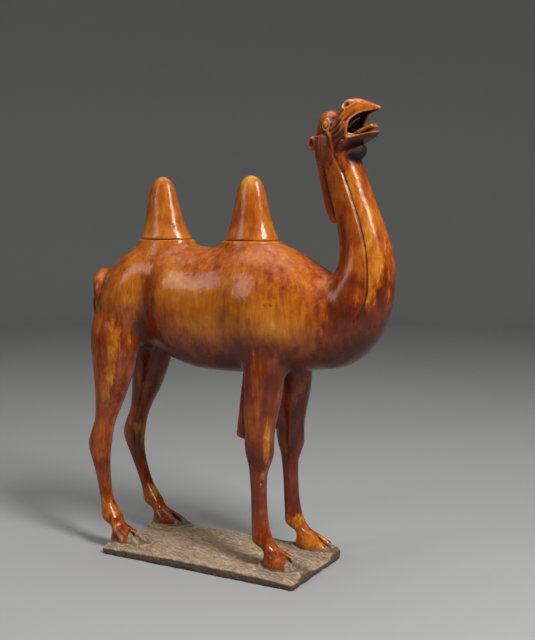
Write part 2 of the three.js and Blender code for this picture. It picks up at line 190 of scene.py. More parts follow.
# a hump's seat, as it is roughed out and as it is finished: depth, share of its full reach
ROUGH_SEAT = [(0, 0.985), (0.9, 0.996), (2.5, 1), (36, 1)]
FINISHED_SEAT = [*ROUGH_SEAT[:3], (18, 1)]
# How each form is made: its table, how many sides and rows it is cut into, how square its sections are
SKULL_SQUARENESS = 2.8
FORMS = {
    "torso": (TORSO, 72, 96, 2.15), "neck": (NECK, 56, 90, 2.1), "foreleg": (FORELEG, 44, 150, 2),
    "hindleg": (HINDLEG, 44, 150, 2), "fringe": (FRINGE, 40, 40, 2), "tail": (TAIL, 32, 60, 2),
    "rough_seat": (ROUGH_SEAT, 96, 30, 2), "finished_seat": (FINISHED_SEAT, 96, 30, 2),
    "hump": (HUMP, 96, 96, 2), "skull": (UPPER_HEAD, 48, 90, SKULL_SQUARENESS),
    "mouth": (MOUTH_HOLLOW, 40, 60, SKULL_SQUARENESS), "jaw": (LOWER_JAW, 40, 50, 2.4),
    "tongue": (TONGUE, 24, 30, 4.5), "throat_tuft": (THROAT_TUFT, 32, 30, 2),
    "cheek_flap": (CHEEK_FLAP, 40, 40, 3), "nape_lock": (NAPE_LOCK, 32, 70, 2),
}
TAIL_CURL_CUT = (28, 60)
# Swellings of the flesh: place, reach along, across and up, and how far they stand out
SWELLINGS = [
    ((118, 82, 478), (62, 60, 78), 13), ((-212, 66, 480), (56, 60, 80), 11),
    ((-132, 80, 440), (26, 70, 105), -17), ((40, 90, 480), (20, 60, 80), -5),
]
EAR = ((-9, 27, -6), (9, 8.5, 13.5))
EAR_HOLLOW = ((-10, 35.5, -6), (5.6, 6.5, 9.5))
NOSTRIL_WING = ((81, 14, 21), (11, 8.5, 8.5))
# teeth: distance along the head, across, height, radius
TEETH = [
    (53.5, 2.5, -5, 2.4), (57.5, 6, -1.5, 2.8), (62, 10, 1.5, 3), (66.5, 13.5, 3, 2.8),
    (71, 16.5, 3.5, 2.2),
]
# the gum inside the corner of the mouth: distance along the head, across, height, half thickness
GUM = [
    (52, 25, -24, 1), (56, 24, -25.5, 2.8), (61, 22.5, -29, 3), (67, 19.5, -33.5, 2.2), (72, 16, -36, 1),
]

# Rolls of clay laid on both sides of the face: distance along the head, height, half thickness
WRINKLES = [
    [(27, 0, 1), (33, -1.6, 2.4), (42, -0.8, 3), (53, 1, 3), (64, 3.4, 2.6), (73, 8, 2.2), (77, 13, 0.8)],
    [(31, -7, 0.8), (38, -8.4, 2.2), (47, -9, 2.8), (58, -8.6, 2.9), (68, -3.6, 2.4), (76, 1, 0.8)],
    [(36, -16, 0.8), (44, -17, 2.2), (53, -16.4, 2.7), (61, -13.6, 2.3), (68, -7.4, 0.8)],
    [(23, 3, 1), (28, -4, 3.6), (28.5, -12, 3.8), (24.5, -23, 3), (19.8, -34, 2.6), (17, -46, 1)],
    [(53, -33, 1), (46, -30.5, 2), (37, -31.5, 2.3), (29, -34.5, 2), (22, -38.5, 1)],
    [(53, -33, 1), (46, -36, 2), (37, -39, 2.3), (29, -40, 2), (22, -38.5, 1)],
    [(101, 12, 0.8), (91, 14, 2.2), (83, 12.4, 2.8), (76, 14, 3.2), (72, 20, 3.4), (73.5, 26.4, 3.2),
     (79.5, 29, 2.6), (86, 26.5, 2), (92, 22, 0.8)],
]
# Lines cut between the rolls of the face: distance along the head, height
FACE_LINES = [
    [(29, -4.4), (36, -5), (43, -4.8), (56, -4), (66, -0.4), (74, 4)],
    [(34, -12.4), (42, -13), (50, -12.8), (60, -11.2), (68, -5.5), (74, -2)],
    [(36, -20), (44, -21.2), (52, -21), (60, -18.4), (65, -13)],
    [(30, 4), (42, 4.6), (54, 5.6), (64, 8.4), (71, 13)],
    [(33, -14), (31.5, -20), (28, -29), (24, -37), (21, -47)],
    [(24.5, -4), (24, -13), (20, -23), (15.5, -34)],
    [(53, -36.6), (45, -40), (37, -42.6), (28, -43.4), (19, -41)],
    [(51, -29.4), (45, -27), (37, -28), (28, -31.2), (23.5, -35)],
]
# The shaded crease where the cheek ends over the neck
CHEEK_CREASE = [(3, -55), (10, -50.5), (19, -46.5), (30, -45), (42, -43)]
FINE_HEAD = {"from": -20, "bottom": -60}  # the part that isn't thinned
FACE = {"from": 10, "to": 126, "bottom": -52, "out": 9, "line_width": 1.5, "line_depth": 0.9}
EYE = {
    "at": (31, 11.5), "long": 10.5, "short": 8, "lean": math.radians(65), "lid": 1.6, "lid_out": 1.3,
    "ball": (8.4, 6.6, 6.4), "ball_in": 0.8, "groove_beyond": 3, "groove_width": 1.4, "groove_depth": 0.8,
}
EYE_PIT = {"at": (46, 15.5), "radius": 2.6, "depth": 3.6}
NOSTRIL_HOLE = {"at": (80.5, 20.5), "radius": 4.2, "depth": 3.6}
# upper and lower lip: distance along the head, height, half width of the mouth there, half thickness
UPPER_LIP = [
    (54, -29, 29, 2.2), (58, -24.5, 29.5, 3.4), (64, -16.5, 30, 3.2), (69, -11, 28.8, 2.8),
    (75, -7, 26.5, 2.4), (83, -4.8, 23, 2.2), (92, -4.2, 18.5, 2.1), (102, -6.5, 14, 2.1),
    (112, -10.5, 9.5, 2), (121, -13.5, 4.5, 1.8), (124, -14.5, 0, 1.8),
]
LOWER_LIP = [
    (54, -29, 29, 2.2), (59, -33, 27.5, 3.6), (64, -35.5, 25, 3.2), (74, -39, 20.5, 2.6),
    (85, -42.3, 15.5, 2.4), (94, -44.8, 10.5, 2.2), (100, -46.5, 5, 2), (101.5, -47, 0, 2),
]
# Painted highlights along the edges of nostril and lips: path, half width, strength
PAINTED_HIGHLIGHT_EDGES = [(WRINKLES[-1][3:], 1.9, 1), (LOWER_LIP[:4], 2, 0.9), (UPPER_LIP[2:9], 1.3, 0.5)]
LIP_SOFT = (5, 8)  # how far from a lip's middle the smoothing fades out
LIP_REGION = ((50, 130), (-60, 20))  # where lips are looked for: distances along the head, heights
# The open mouth, for its colours; the curves give distances along the head, then the measure at each
# Its hollow is painted dark, as shade
MOUTH = {
    "from": 47, "to": 122, "over": 3, "tongue_from": 56, "tongue_half": 14.5, "tooth_margin": 0.3,
    "gum_margin": 0.4,
}
MOUTH_HALF = ([48, 60, 75, 92, 122], [14, 26, 23, 15, 3])
MOUTH_RIM_HALF = ([48, 60, 75, 92, 122], [10, 24, 21, 13, 1])
MOUTH_ROOF = ([48, 57, 69, 81, 100, 110, 122], [-4, 6, 12, 14, 5, -4, -13])
MOUTH_FLOOR = ([48, 60, 100], [-33, -30, -44])
MOUTH_RIM = ([48, 57, 69, 81, 100, 122], [-24, -20, -7, -2, -3, -12])
TONGUE_TOP = ([46, 74, 101], [-22, -24, -29])
TONGUE_FOOT = ([46, 74, 101], [-36, -36, -40])
JAW_EDGE = ([30, 45, 55, 60, 75, 90, 100], [-44, -39, -37, -37, -40.5, -45.5, -50])

BODY_LIGHTNESS, HUMP_LIGHTNESS = 0.5, 0.56
# Fine and broad relief: the smoothing that each is measured against, and its share of a hollow's depth
RELIEF = {"rounds": (12, 60), "shares": (1.3, 0.3)}
# Soft areas of glaze and of painted light and shade: middle, reach, how much thinner and lighter it is
# there
# Some paint light on the lit shoulder, haunch and flank, and some shade on the far legs, knees and tail
GLAZE_AND_PAINTED_LIGHT_AREAS = [
    ((0, 12, 380), (260, 130, 50), -0.2), ((330, 0, 470), (60, 90, 84), -0.36),
    ((65, 12, 660), (60, 60, 50), -0.1), ((57, 0, 742), (30, 30, 18), 0.26),
    ((-139, 0, 744), (30, 30, 18), 0.26), ((-300, -14, 500), (9, 30, 40), -0.4),
    ((262, -40, 470), (22, 60, 90), -0.12), ((-115, -60, 500), (20, 60, 60), -0.14),
    ((-100, -60, 440), (30, 60, 44), -0.12), ((135, -40, 390), (60, 50, 70), -0.14),
    ((-200, 12, 430), (70, 130, 120), -0.04), ((118, 12, 160), (34, 110, 90), -0.24),
    ((115, -50, 225), (24, 40, 26), -0.14), ((135, -50, 250), (24, 40, 50), -0.12),
    ((-245, 12, 160), (34, 110, 70), -0.24), ((170, -50, 34), (44, 40, 24), -0.16),
    ((-175, 12, 34), (50, 110, 14), -0.22), ((262, -20, 740), (14, 40, 50), -0.06),
    ((232, -10, 790), (30, 50, 26), -0.14), ((270, 10, 620), (22, 60, 70), -0.1),
    ((285, 0, 540), (22, 60, 60), -0.12), ((-242, 84, 340), (60, 50, 100), -0.24),
    ((130, 84, 270), (50, 50, 120), -0.16), ((60, -84, 360), (40, 40, 60), -0.12),
    ((330, -30, 650), (22, 40, 70), 0.1), ((306, -18, 710), (20, 30, 60), -0.02),
    ((167, -84, 480), (60, 40, 55), 0.16), ((0, 12, 620), (300, 90, 60), 0.1),
    ((-30, -84, 510), (90, 40, 60), 0.14), ((-170, -78, 540), (44, 50, 60), 0.16),
    ((258, -30, 792), (22, 30, 20), -0.2), ((256, -30, 818), (16, 26, 16), -0.1),
    ((-280, -20, 540), (14, 20, 40), 0.1), ((60, -84, 460), (60, 40, 40), 0.08),
]
# Golden drips: middle, reach, strength
GOLDEN_AREAS = [
    ((-168, -78, 520), (10, 40, 26), 0.7), ((-186, -80, 430), (8, 30, 22), 0.9),
    ((-194, -80, 396), (10, 30, 22), 1.0), ((-204, -84, 362), (10, 30, 22), 1.0),
    ((-216, -84, 322), (14, 30, 34), 0.9), ((-204, -84, 470), (14, 30, 26), 0.5),
    ((141, -60, 268), (6, 20, 20), 0.8), ((136, -60, 228), (5, 20, 24), 0.7),
    ((128, -60, 188), (6, 20, 16), 0.5), ((-228, -60, 76), (24, 30, 22), 1.2),
    ((-205, -60, 47), (13, 30, 9), 0.9), ((-228, 84, 76), (24, 30, 24), 1.2),
    ((122, 84, 66), (24, 34, 18), 1.0), ((162, 84, 34), (34, 40, 20), 1.4),
    ((150, -50, 44), (18, 30, 10), 0.7), ((122, -50, 70), (14, 30, 16), 0.5),
    ((-250, 84, 215), (20, 30, 34), 0.8), ((-284, -30, 530), (20, 30, 26), 0.5),
    ((350, -6, 640), (8, 40, 60), 0.5), ((318, -24, 680), (6, 30, 60), 0.6),
    ((238, -30, 812), (8, 16, 9), 0.6), ((286, -8, 867), (26, 24, 8), 0.75),
    ((229, -14, 843), (14, 20, 8), 0.5), ((252, -30, 806), (16, 16, 7), 0.45),
]
# The golden strip ahead of the throat's line, on the figure's right, and the golden rims of the seats
THROAT_STRIP = {"ahead": (-1, 3, 10, 34), "z": (480, 560, 730, 760), "right": (0, 14), "strength": 0.9}
GOLDEN_RIM = {"below": 0.8, "height": 1.8, "from": 1.02, "to": 1.25}
# Chips down to the clay, and dark scars in the glaze: middle, radius
CHIPS = [
    ((-21, -43, 589), 2.4), ((123, -59, 172), 3), ((-60, -58, 575), 1.4), ((40, -62, 570), 1.5),
    ((232, -40, 600), 1.6),
]
SCARS = [
    ((147, -88, 505), 1.9), ((158, -86, 505), 1.7), ((-21, -71, 551), 2), ((-28, -68, 556), 1.5),
    ((-101, -9, 650), 4.5), ((-18, -45, 586), 1.8), ((-5, -70, 550), 1.2), ((10, -72, 540), 1.3),
    ((-48, -80, 520), 1.5), ((75, -78, 528), 1.6), ((-150, -40, 585), 1.5), ((100, -84, 470), 1.4),
    ((-195, -60, 540), 1.5),
]
# Where the glaze is full of dark specks: middle, reach, strength
SPECKLED_AREAS = [
    ((65, -20, 660), (60, 60, 42), 1.0), ((-131, -20, 650), (60, 60, 30), 0.4),
    ((110, -60, 560), (70, 60, 50), 0.5),
]
# Where the glaze lies dark in the shade, under chin, cheek and belly
SHADE = {
    "under_jaw": (-4, 1), "chin_from": (38, 52), "chin_above": 740, "crease": (0.8, 3.4),
    "facing_down": (0.15, 0.85), "belly": (300, 480),
}
# How far ahead of each foot's middle its bare toes begin
BARE_TOES = (17, 30, 14, 26)
BARE_FOOT = {"reach": 62, "top": 50, "slope": 0.25, "soft": 12, "sole": (20, 27)}

# Lines drawn on both sides of the neck: x, z
THROAT_LINE = [
    (250, 772), (258, 757), (268, 736), (276, 716), (284, 697), (296, 666), (306, 636), (315, 605),
    (321, 565), (322, 530), (315, 502), (302, 482),
]
THROAT_SECOND_LINE = [(258, 768), (265, 752), (273, 733), (280, 714), (286, 699)]
# Where the thigh stands out from the flank, and the valley between shoulder and neck: x, z, drawn upwards
THIGH_EDGE = [(-166, 398), (-155, 430), (-142, 462), (-128, 495), (-118, 530), (-108, 562), (-96, 590)]
SHOULDER_VALLEY = [(262, 412), (265, 445), (262, 480), (252, 515), (236, 550)]
# Grooves: path, width, depth, how far the surface behind is let down, and over what reach
BODY_GROOVES = [(THIGH_EDGE, 15, 2.2, 4, 44), (THIGH_EDGE[:4], 15, 5, 5, 30), (SHOULDER_VALLEY, 17, 4.5)]
THROAT_GROOVES = [(THROAT_LINE, 2, 1.9, 2.2, 24), (THROAT_SECOND_LINE, 1.8, 1)]
FLANK_OUT, NECK_OUT = 30, 6  # how far from the middle the grooves may begin
# What is smoothed over after the body's grooves: the strips beside them, and the skirts of the seats
SOFT_ABOVE, SOFT_BESIDE = 330, (10, 50)
SKIRT = {"below": (2, 6, 59.9, 60), "out": (1.5, 1.9)}

# Where hair is combed: where it starts, is full, begins to fade and ends, along each measure
ANYWHERE = -9999, -9998
HAIR_AREAS = {
    "flap": {"ahead": (-6, -2, 31, 35), "up": (-52, -46, 2, 6), "out": (27, 30, 36, 38)},
    "lock": {"off_middle": (*ANYWHERE, 12, 14), "z": (645, 665, 780, 800), "past_lock": (*ANYWHERE, 2, 6)},
    "tuft": {"s": (28, 42, 69, 70), "t": (-76, -70, -56, -50)},
    "tails": {"z": (440, 470, 548, 560), "x": (*ANYWHERE, -266, -258)},
    "fringes": {"z": (250, 275, 360, 390), "x": (39, 40, 84, 90)},
}
# How it is combed: the direction across the strands (the flap's in the head's own place), period, depth
COMBING = [
    ("flap", (1, 0, 0), 4.6, 0.7), ("lock", (0.4, 1, 0), 5.4, 0.9), ("tuft", (0, 1, 0.3), 5.4, 0.6),
    ("tails", (-0.5, 1, 0), 5.5, 1.2), ("fringes", (1, 0.5, 0), 5, 1.1),
]

# Noise patterns: lumps to a metre along each axis, detail, roughness, warp
PATTERNS = {
    "patches": ((17, 17, 17), 5, 0.64, 0.35), "runs": ((80, 80, 8), 5, 0.62, 0.2),
    "fine_runs": ((320, 320, 20), 3, 0.6, 0), "blotches": ((70, 70, 30), 5, 0.7, 0.3),
    "veins": ((150, 150, 14), 4, 0.7, 0.4), "highlight_breaks": ((190, 190, 190), 3, 0.6, 0),
    "strands": ((420, 420, 30), 3, 0.6, 0), "crowding": ((60, 60, 60), 4, 0.6, 0),
    "bare_edge": ((120, 120, 120), 5, 0.6, 0), "earth": ((180, 180, 180), 5, 0.7, 0),
    "smears": ((55, 55, 55), 5, 0.7, 0), "waves": ((45, 45, 45), 3, 0.5, 0),
    "ripples": ((420, 420, 420), 3, 0.6, 0), "orange_peel": ((700, 700, 700), 3, 0.6, 0),
    "clay_patches": ((22, 22, 22), 6, 0.68, 0.5), "strokes": ((62, 250, 200), 5, 0.7, 0.7),
    "crumbs": ((190, 260, 240), 5, 0.7, 0.4), "grain": ((900, 900, 900), 3, 0.7, 0),
    "layers": ((24, 24, 420), 5, 0.7, 0.5), "rubs": ((120, 120, 120), 5, 0.75, 0.6),
}
PIT_SCALE, PIT_SIZE, PIT_EDGE = 210, 0.06, 0.1
STROKE_SLANT = math.radians(24)
CLAY_ROUGHNESS, FLOOR_ROUGHNESS = 0.92, 0.9

# Studio lights: name, place, size, power; all in metres and watts
STUDIO_LIGHTS = [
    ("key_softbox", (1.75, -0.75, 2.35), (0.6, 1.25), 74),
    ("front_softbox", (-1.6, -2.1, 2.1), (0.8, 1.4), 14),
    ("overhead_softbox", (-0.3, 0.1, 3.0), (2.4, 2.0), 20),
]
BACKDROP = {"reach": 5.0, "bend": 2.5, "height": 7.0, "steps": 20}


def number(name, description, value, unit="NONE"):
    return bpy.props.FloatProperty(name=name, description=description, default=value, unit=unit)


def whole(name, description, value):
    return bpy.props.IntProperty(name=name, description=description, default=value)


def color(name, description, value):
    return bpy.props.FloatVectorProperty(name=name, description=description, default=value, subtype="COLOR")


class CamelSizes(bpy.types.PropertyGroup):
    """How finely the figure is modelled"""

    body_voxel: number("Body Voxel", "Grain of the roughed-out body", 0.003, "LENGTH")
    skin_voxel: number("Skin Voxel", "Grain of the finished surface", 0.0014, "LENGTH")
    slab_voxel: number("Slab Voxel", "Grain of the slab's surface", 0.0022, "LENGTH")
    join_rounds: whole("Join Smoothing", "How often the joins are smoothed over", 60)
    haunch_rounds: whole("Haunch Smoothing", "How often haunch and shoulder are smoothed over", 40)
    lip_rounds: whole("Lip Smoothing", "How often the lips are smoothed over", 6)
    body_triangles: whole("Body Triangles", "Triangles left in the finished figure", 190000)


class CamelFinishes(bpy.types.PropertyGroup):
    """The glaze and clay colours"""

    # Deep also paints shade: in the mouth, under chin, jaw and belly, and on the throat tuft
    deep: color("Deep", "Glaze pooled thick in hollows", (0.02, 0.006, 0.003))
    dark_brown: color("Dark Brown", "Thickest runs of glaze", (0.095, 0.017, 0.006))
    brown: color("Brown", "Thick glaze", (0.21, 0.03, 0.006))
    amber: color("Amber", "Main colour of the glaze", (0.4, 0.088, 0.009))
    gold: color("Gold", "Thin glaze", (0.58, 0.19, 0.014))
    straw: color("Straw", "Thinnest glaze, on edges", (0.74, 0.39, 0.06))
    # Pale Edge paints the highlights on nostril, lids and lips
    painted_highlight_edge: color("Pale Edge", "Glaze worn thin on nostril, lids and lips", (0.86, 0.58, 0.27))
    teeth: color("Teeth", "Pale glaze on the teeth", (0.6, 0.34, 0.27))
    clay: color("Clay", "Main colour of the bare clay", (0.43, 0.29, 0.185))
    clay_dark: color("Dark Clay", "Earth and shadowed hollows", (0.19, 0.13, 0.085))
    # Earth colours the slab's sideways-facing sides and the painted shade round each sole
    clay_earth: color("Earth", "Stained sides of the slab", (0.045, 0.026, 0.016))
    clay_pale: color("Pale Clay", "Rubbed and brushed clay", (0.7, 0.53, 0.38))


class CamelStudio(bpy.types.PropertyGroup):
    """The camera, the lights and the floor"""

    camera_place: bpy.props.FloatVectorProperty(
        name="Camera Place", description="Where the camera stands", unit="LENGTH", subtype="TRANSLATION",
        default=(0.97958, -1.57778, 0.63081))
    camera_dip: number("Camera Dip", "How far the camera looks down", math.radians(5.043), "ROTATION")
    camera_turn: number("Camera Turn", "How far the camera turns left", math.radians(28.983), "ROTATION")
    lens: number("Lens", "Focal length", 54.18, "CAMERA")
    surroundings: number("Surroundings", "Strength of the light from all round", 0.26)
    surroundings_color: color("Surroundings Colour", "Colour of that light", (0.8, 0.79, 0.77))
    floor_color: color("Floor", "Colour of the floor and the wall", (0.4, 0.4, 0.4))
    aim_height: number("Aim Height", "Height that the lights point at", 0.45, "LENGTH")


def smoothstep(value, low, high):
    share = np.clip((value - low) / (high - low), 0, 1)
    return share * share * (3 - 2 * share)


def fade(value, low, high):
    return 1 - smoothstep(value, low, high)


def band(value, start, full, last, end):
    """Rises to 1 between start and full, and falls off again between last and end"""
    return smoothstep(value, start, full) * fade(value, last, end)


def row_at(table, share):
    """A smooth curve through a table's rows, read at a share of its length"""
    last = len(table) - 1
    i = min(max(int(share * last), 0), last - 1)
    t = share * last - i
    rows = [table[min(max(k, 0), last)] for k in (i - 1, i, i + 1, i + 2)]
    return [
        b + 0.5 * t * (d - a + t * (2 * a - 5 * b + 4 * d - e + t * (3 * (b - d) + e - a)))
        for a, b, d, e in zip(*rows)
    ]


def curve_through(rows, steps):
    return np.array([row_at(rows, k / steps) for k in range(steps + 1)])


def tube(sides, rows):
    """A closed upright tube of unit radius and height, cut into rows"""
    form = bmesh.new()
    bmesh.ops.create_cone(form, cap_ends=True, segments=sides, radius1=1, radius2=1, depth=1)
    lengthwise = [e for e in form.edges if abs(e.verts[0].co.z - e.verts[1].co.z) > 0.5]
    bmesh.ops.subdivide_edges(form, edges=lengthwise, cuts=rows - 1, use_grid_fill=True)
    return form


def facing_out(form):
    form.normal_update()
    bmesh.ops.recalc_face_normals(form, faces=form.faces[:])
    return form


def loft(which, place):
    """A closed form whose sections follow a table; place(row, ahead, aside) is a point of a section"""
    table, sides, rows, power = FORMS[which]
    form = tube(sides, rows)
    for vertex in form.verts:
        ahead, aside, height = vertex.co
        size = (abs(ahead) ** power + abs(aside) ** power) ** (1 / power)
        row = row_at(table, 0.5 - height)
        vertex.co = Vector(place(row, ahead / size, aside / size)) * MM
    return facing_out(form)


def roll(path, sides=14, rows=None):
    """A roll of clay along a curve; the path's rows are three coordinates and the half thickness"""
    form = tube(sides, rows or 8 * (len(path) - 1))
    for vertex in form.verts:
        share = min(max(0.5 - vertex.co.z, 0), 1)
        *centre, thick = row_at(path, share)
        after, before = (Vector(row_at(path, min(max(share + step, 0), 1))[:3]) for step in (0.01, -0.01))
        turn = (after - before).to_track_quat("Z", "Y")
        vertex.co = (Vector(centre) + turn @ Vector((vertex.co.x, vertex.co.y, 0)) * thick) * MM
    return facing_out(form)


def reach_of(ahead, fore, aft):
    return ahead * (fore if ahead > 0 else aft)


def ends_up(row, ahead, aside):
    x, top, bottom, half, *narrowing = row
    narrow = 1 - narrowing[0] * ahead if narrowing else 1
    return x, aside * half * narrow, (top + bottom) / 2 + ahead * (top - bottom) / 2


def leaning(row, ahead, aside):
    x, z, lean, fore, aft, half = row
    reach = reach_of(ahead, fore, aft)
    turn = math.radians(lean)
    return x + reach * math.cos(turn), aside * half, z - reach * math.sin(turn)


def torso():
    form = loft("torso", ends_up)
    for vertex in form.verts:
        side = math.copysign(1, vertex.co.y)
        for at, reach, out in SWELLINGS:
            away = [(side * vertex.co.y / MM - at[1]) / reach[1]]
            away += [(vertex.co[k] / MM - at[k]) / reach[k] for k in (0, 2)]
            vertex.co.y += side * out * MM * math.exp(-sum(a * a for a in away))
    return form


def set_back(z, hock_back):
    """How far a hock that stands back takes the leg with it at a height"""
    return hock_back * band(z, *HOCK_BACK_SPAN["from_foot"], *HOCK_BACK_SPAN["to_hip"])


def leg(which, side, top_out, foot_out, hock_back=0):
    table = FORMS[which][0]
    top, foot_x = table[0][0], table[-1][1]

    def place(row, ahead, aside):
        z, x, fore, aft, half = row
        down = min(max((top - z) / (top - SOLE), 0), 1)
        out = top_out + (foot_out - top_out) * math.sqrt(down)
        x += reach_of(ahead, fore, aft) - set_back(z, hock_back)
        y = side * out + aside * half
        beyond = x - foot_x - TOE_CLEFT["ahead"]
        if z < TOE_CLEFT["top"] and beyond > 0:
            off = (y - side * foot_out) / TOE_CLEFT["width"]
            x -= math.exp(-off * off) * min(TOE_CLEFT["depth"], beyond)
        return x, y, z

    return loft(which, place)


def fringe(side):
    top = FRINGE[0][0]

    def place(row, ahead, aside):
        z, x, fore, aft, half = row
        out = FRINGE_OUT + (top - z) * FRINGE_SPREAD
        reach = reach_of(ahead, fore, aft)
        return x + reach, side * out + aside * half, z - reach * FRINGE_SLOPE

    return loft("fringe", place)


def tail():
    def place(row, ahead, aside):
        x, y, z, thick, half = row
        return x + ahead * thick, y + aside * half, z + ahead * thick * TAIL_SLOPE

    return loft("tail", place)


def seat(x, z, which):
    """The flat-topped mound that a hump stands on; its sides run on into the back"""
    def place(row, ahead, aside):
        down, grow = row
        along = (HUMP_ALONG + SEAT_LEDGE) * (grow + SEAT_SPREAD["along"] * down)
        across = (HUMP_ACROSS + SEAT_LEDGE) * (grow + SEAT_SPREAD["across"] * down)
        return x + ahead * along, aside * across, z - down

    return loft(which, place)


def head_matrix(pitch=HEAD_PITCH):
    """From the head's own place, in millimetres, to the figure's"""
    ahead = Matrix.Translation((HEAD_AT[0] - HEAD_TURN_AT, 0, HEAD_AT[1])) @ Matrix.Rotation(-pitch, 4, "Y")
    return Matrix.Translation((HEAD_TURN_AT, 0, 0)) @ Matrix.Rotation(HEAD_TURN, 4, "Z") @ ahead


def in_head(form, pitch=HEAD_PITCH):
    scale = Matrix.Scale(MM, 4)
    bmesh.ops.transform(form, matrix=scale @ head_matrix(pitch) @ scale.inverted(), verts=form.verts)
    return form


def in_head_space(co, pitch=HEAD_PITCH):
    """Points of the figure, in millimetres, in the head's own place"""
    turned = np.array(head_matrix(pitch).inverted())
    local = co - (0, FIGURE_SHIFT, 0)
    return local @ turned[:3, :3].T + turned[:3, 3]


def ellipsoid(middle, reach, lean=0):
    """A stretched ball, leaning in side view"""
    form = bmesh.new()
    bmesh.ops.create_uvsphere(form, u_segments=24, v_segments=16, radius=MM)
    place = Matrix.Translation(Vector(middle) * MM) @ Matrix.Rotation(-lean, 4, "Y")
    bmesh.ops.transform(form, matrix=place @ Matrix.Diagonal((*reach, 1)), verts=form.verts)
    return form


def ball(feature, side):
    (s, out, t), reach = feature
    return ellipsoid((s, side * out, t), reach)


def skull_side(distance, height):
    """How far out the skull's side is at a place along and up it"""
    rows = curve_through(UPPER_HEAD, 199)
    top, bottom, half, narrowing = (np.interp(distance, rows[:, 0], rows[:, k]) for k in range(1, 5))
    up = min(max((2 * height - top - bottom) / (top - bottom), -0.95), 0.95)
    rounding = (1 - abs(up) ** SKULL_SQUARENESS) ** (1 / SKULL_SQUARENESS)
    return rounding * half * (1 - narrowing * up)


def on_skull(path, side):
    return [(s, side * (skull_side(s, t) + 0.5), t, thick) for s, t, thick in path]


def round_eye(turn, across, beyond=0):
    """A place on the eye's outline, or a little beyond it; across is 1, or -1 for the other way round"""
    (s, t), lean = EYE["at"], EYE["lean"]
    along, off = (EYE["long"] + beyond) * math.cos(turn), across * (EYE["short"] + beyond) * math.sin(turn)
    s += along * math.cos(lean) - off * math.sin(lean)
    return s, t + along * math.sin(lean) + off * math.cos(lean)


def eye_forms(side):
    """An almond eyeball between two lids"""
    s, t = EYE["at"]
    forms = [ellipsoid((s, side * (skull_side(s, t) - EYE["ball_in"]), t), EYE["ball"], EYE["lean"])]
    for fold in (1, -1):
        path = []
        for step in range(9):
            turn = math.pi * step / 8
            lid_s, lid_t = round_eye(turn, fold)
            out = side * (skull_side(lid_s, lid_t) + EYE["lid_out"])
            path.append((lid_s, out, lid_t, EYE["lid"] * (0.7 + 0.3 * math.sin(turn))))
        forms.append(roll(path))
    return [in_head(form) for form in forms]


def eye_ring(beyond):
    """The outline of the lids, or a line that keeps a distance beyond it"""
    return [round_eye(math.tau * step / 24, 1, beyond) for step in range(25)]


def lip(rows):
    """A rolled lip that runs from one corner of the mouth round the front to the other"""
    right = [(s, -half, t, thick) for s, t, half, thick in rows]
    left = [(s, half, t, thick) for s, t, half, thick in reversed(rows[:-1])]
    return in_head(roll(right + left))


def cheek_flap(side):
    def place(row, ahead, aside):
        z, x, fore, aft, half = row
        return x + reach_of(ahead, fore, aft), side * CHEEK_FLAP_OUT + aside * half, z

    return in_head(loft("cheek_flap", place), 0)


def gathered(forms, name):
    """The forms as one mesh object"""
    whole = bmesh.new()
    for form in forms:
        scrap = bpy.data.meshes.new("scrap")
        form.to_mesh(scrap)
        form.free()
        whole.from_mesh(scrap)
        bpy.data.meshes.remove(scrap)
    mesh = bpy.data.meshes.new(name)
    whole.to_mesh(mesh)
    whole.free()
    piece = bpy.data.objects.new(name, mesh)
    bpy.context.scene.collection.objects.link(piece)
    return piece


def applied(piece):
    """Replaces a piece's mesh by the one that its modifiers make"""
    depsgraph = bpy.context.evaluated_depsgraph_get()
    made = bpy.data.meshes.new_from_object(piece.evaluated_get(depsgraph))
    old = piece.data
    piece.modifiers.clear()
    piece.data = made
    bpy.data.meshes.remove(old)
    made.name = piece.name
    return piece


def skinned(piece, voxel):
    """Fuses a piece's forms into one skin of small even faces"""
    skin = piece.modifiers.new("Skin", "REMESH")
    skin.mode = "VOXEL"
    skin.voxel_size = voxel
    return applied(piece)


def as_form(piece):
    form = bmesh.new()
    form.from_mesh(piece.data)
    bpy.data.objects.remove(piece)
    return form


def hollowed(form, hollow, name):
    """A form with another one cut out of it"""
    whole, tool = gathered([form], name), gathered([hollow], "hollow")
    cut = whole.modifiers.new("Hollow", "BOOLEAN")
    cut.object = tool
    cut.operation = "DIFFERENCE"
    cut.solver = "EXACT"
    applied(whole)
    bpy.data.objects.remove(tool)
    return as_form(whole)


def from_path(points, path):
    """How far points of a plane are from a path, and whether they lie ahead of it (1) or behind it (-1)"""
    nearest = np.full(len(points), np.inf)
    side = np.ones(len(points))
    for start, end in zip(path[:-1], path[1:]):
        run = end - start
        share = np.clip((points - start) @ run / (run @ run), 0, 1)
        off = points - start - share[:, None] * run
        distance = np.hypot(*off.T)
        closer = distance < nearest
        nearest[closer] = distance[closer]
        side[closer] = np.sign(off[closer, 0] * run[1] - off[closer, 1] * run[0])
    return nearest, side


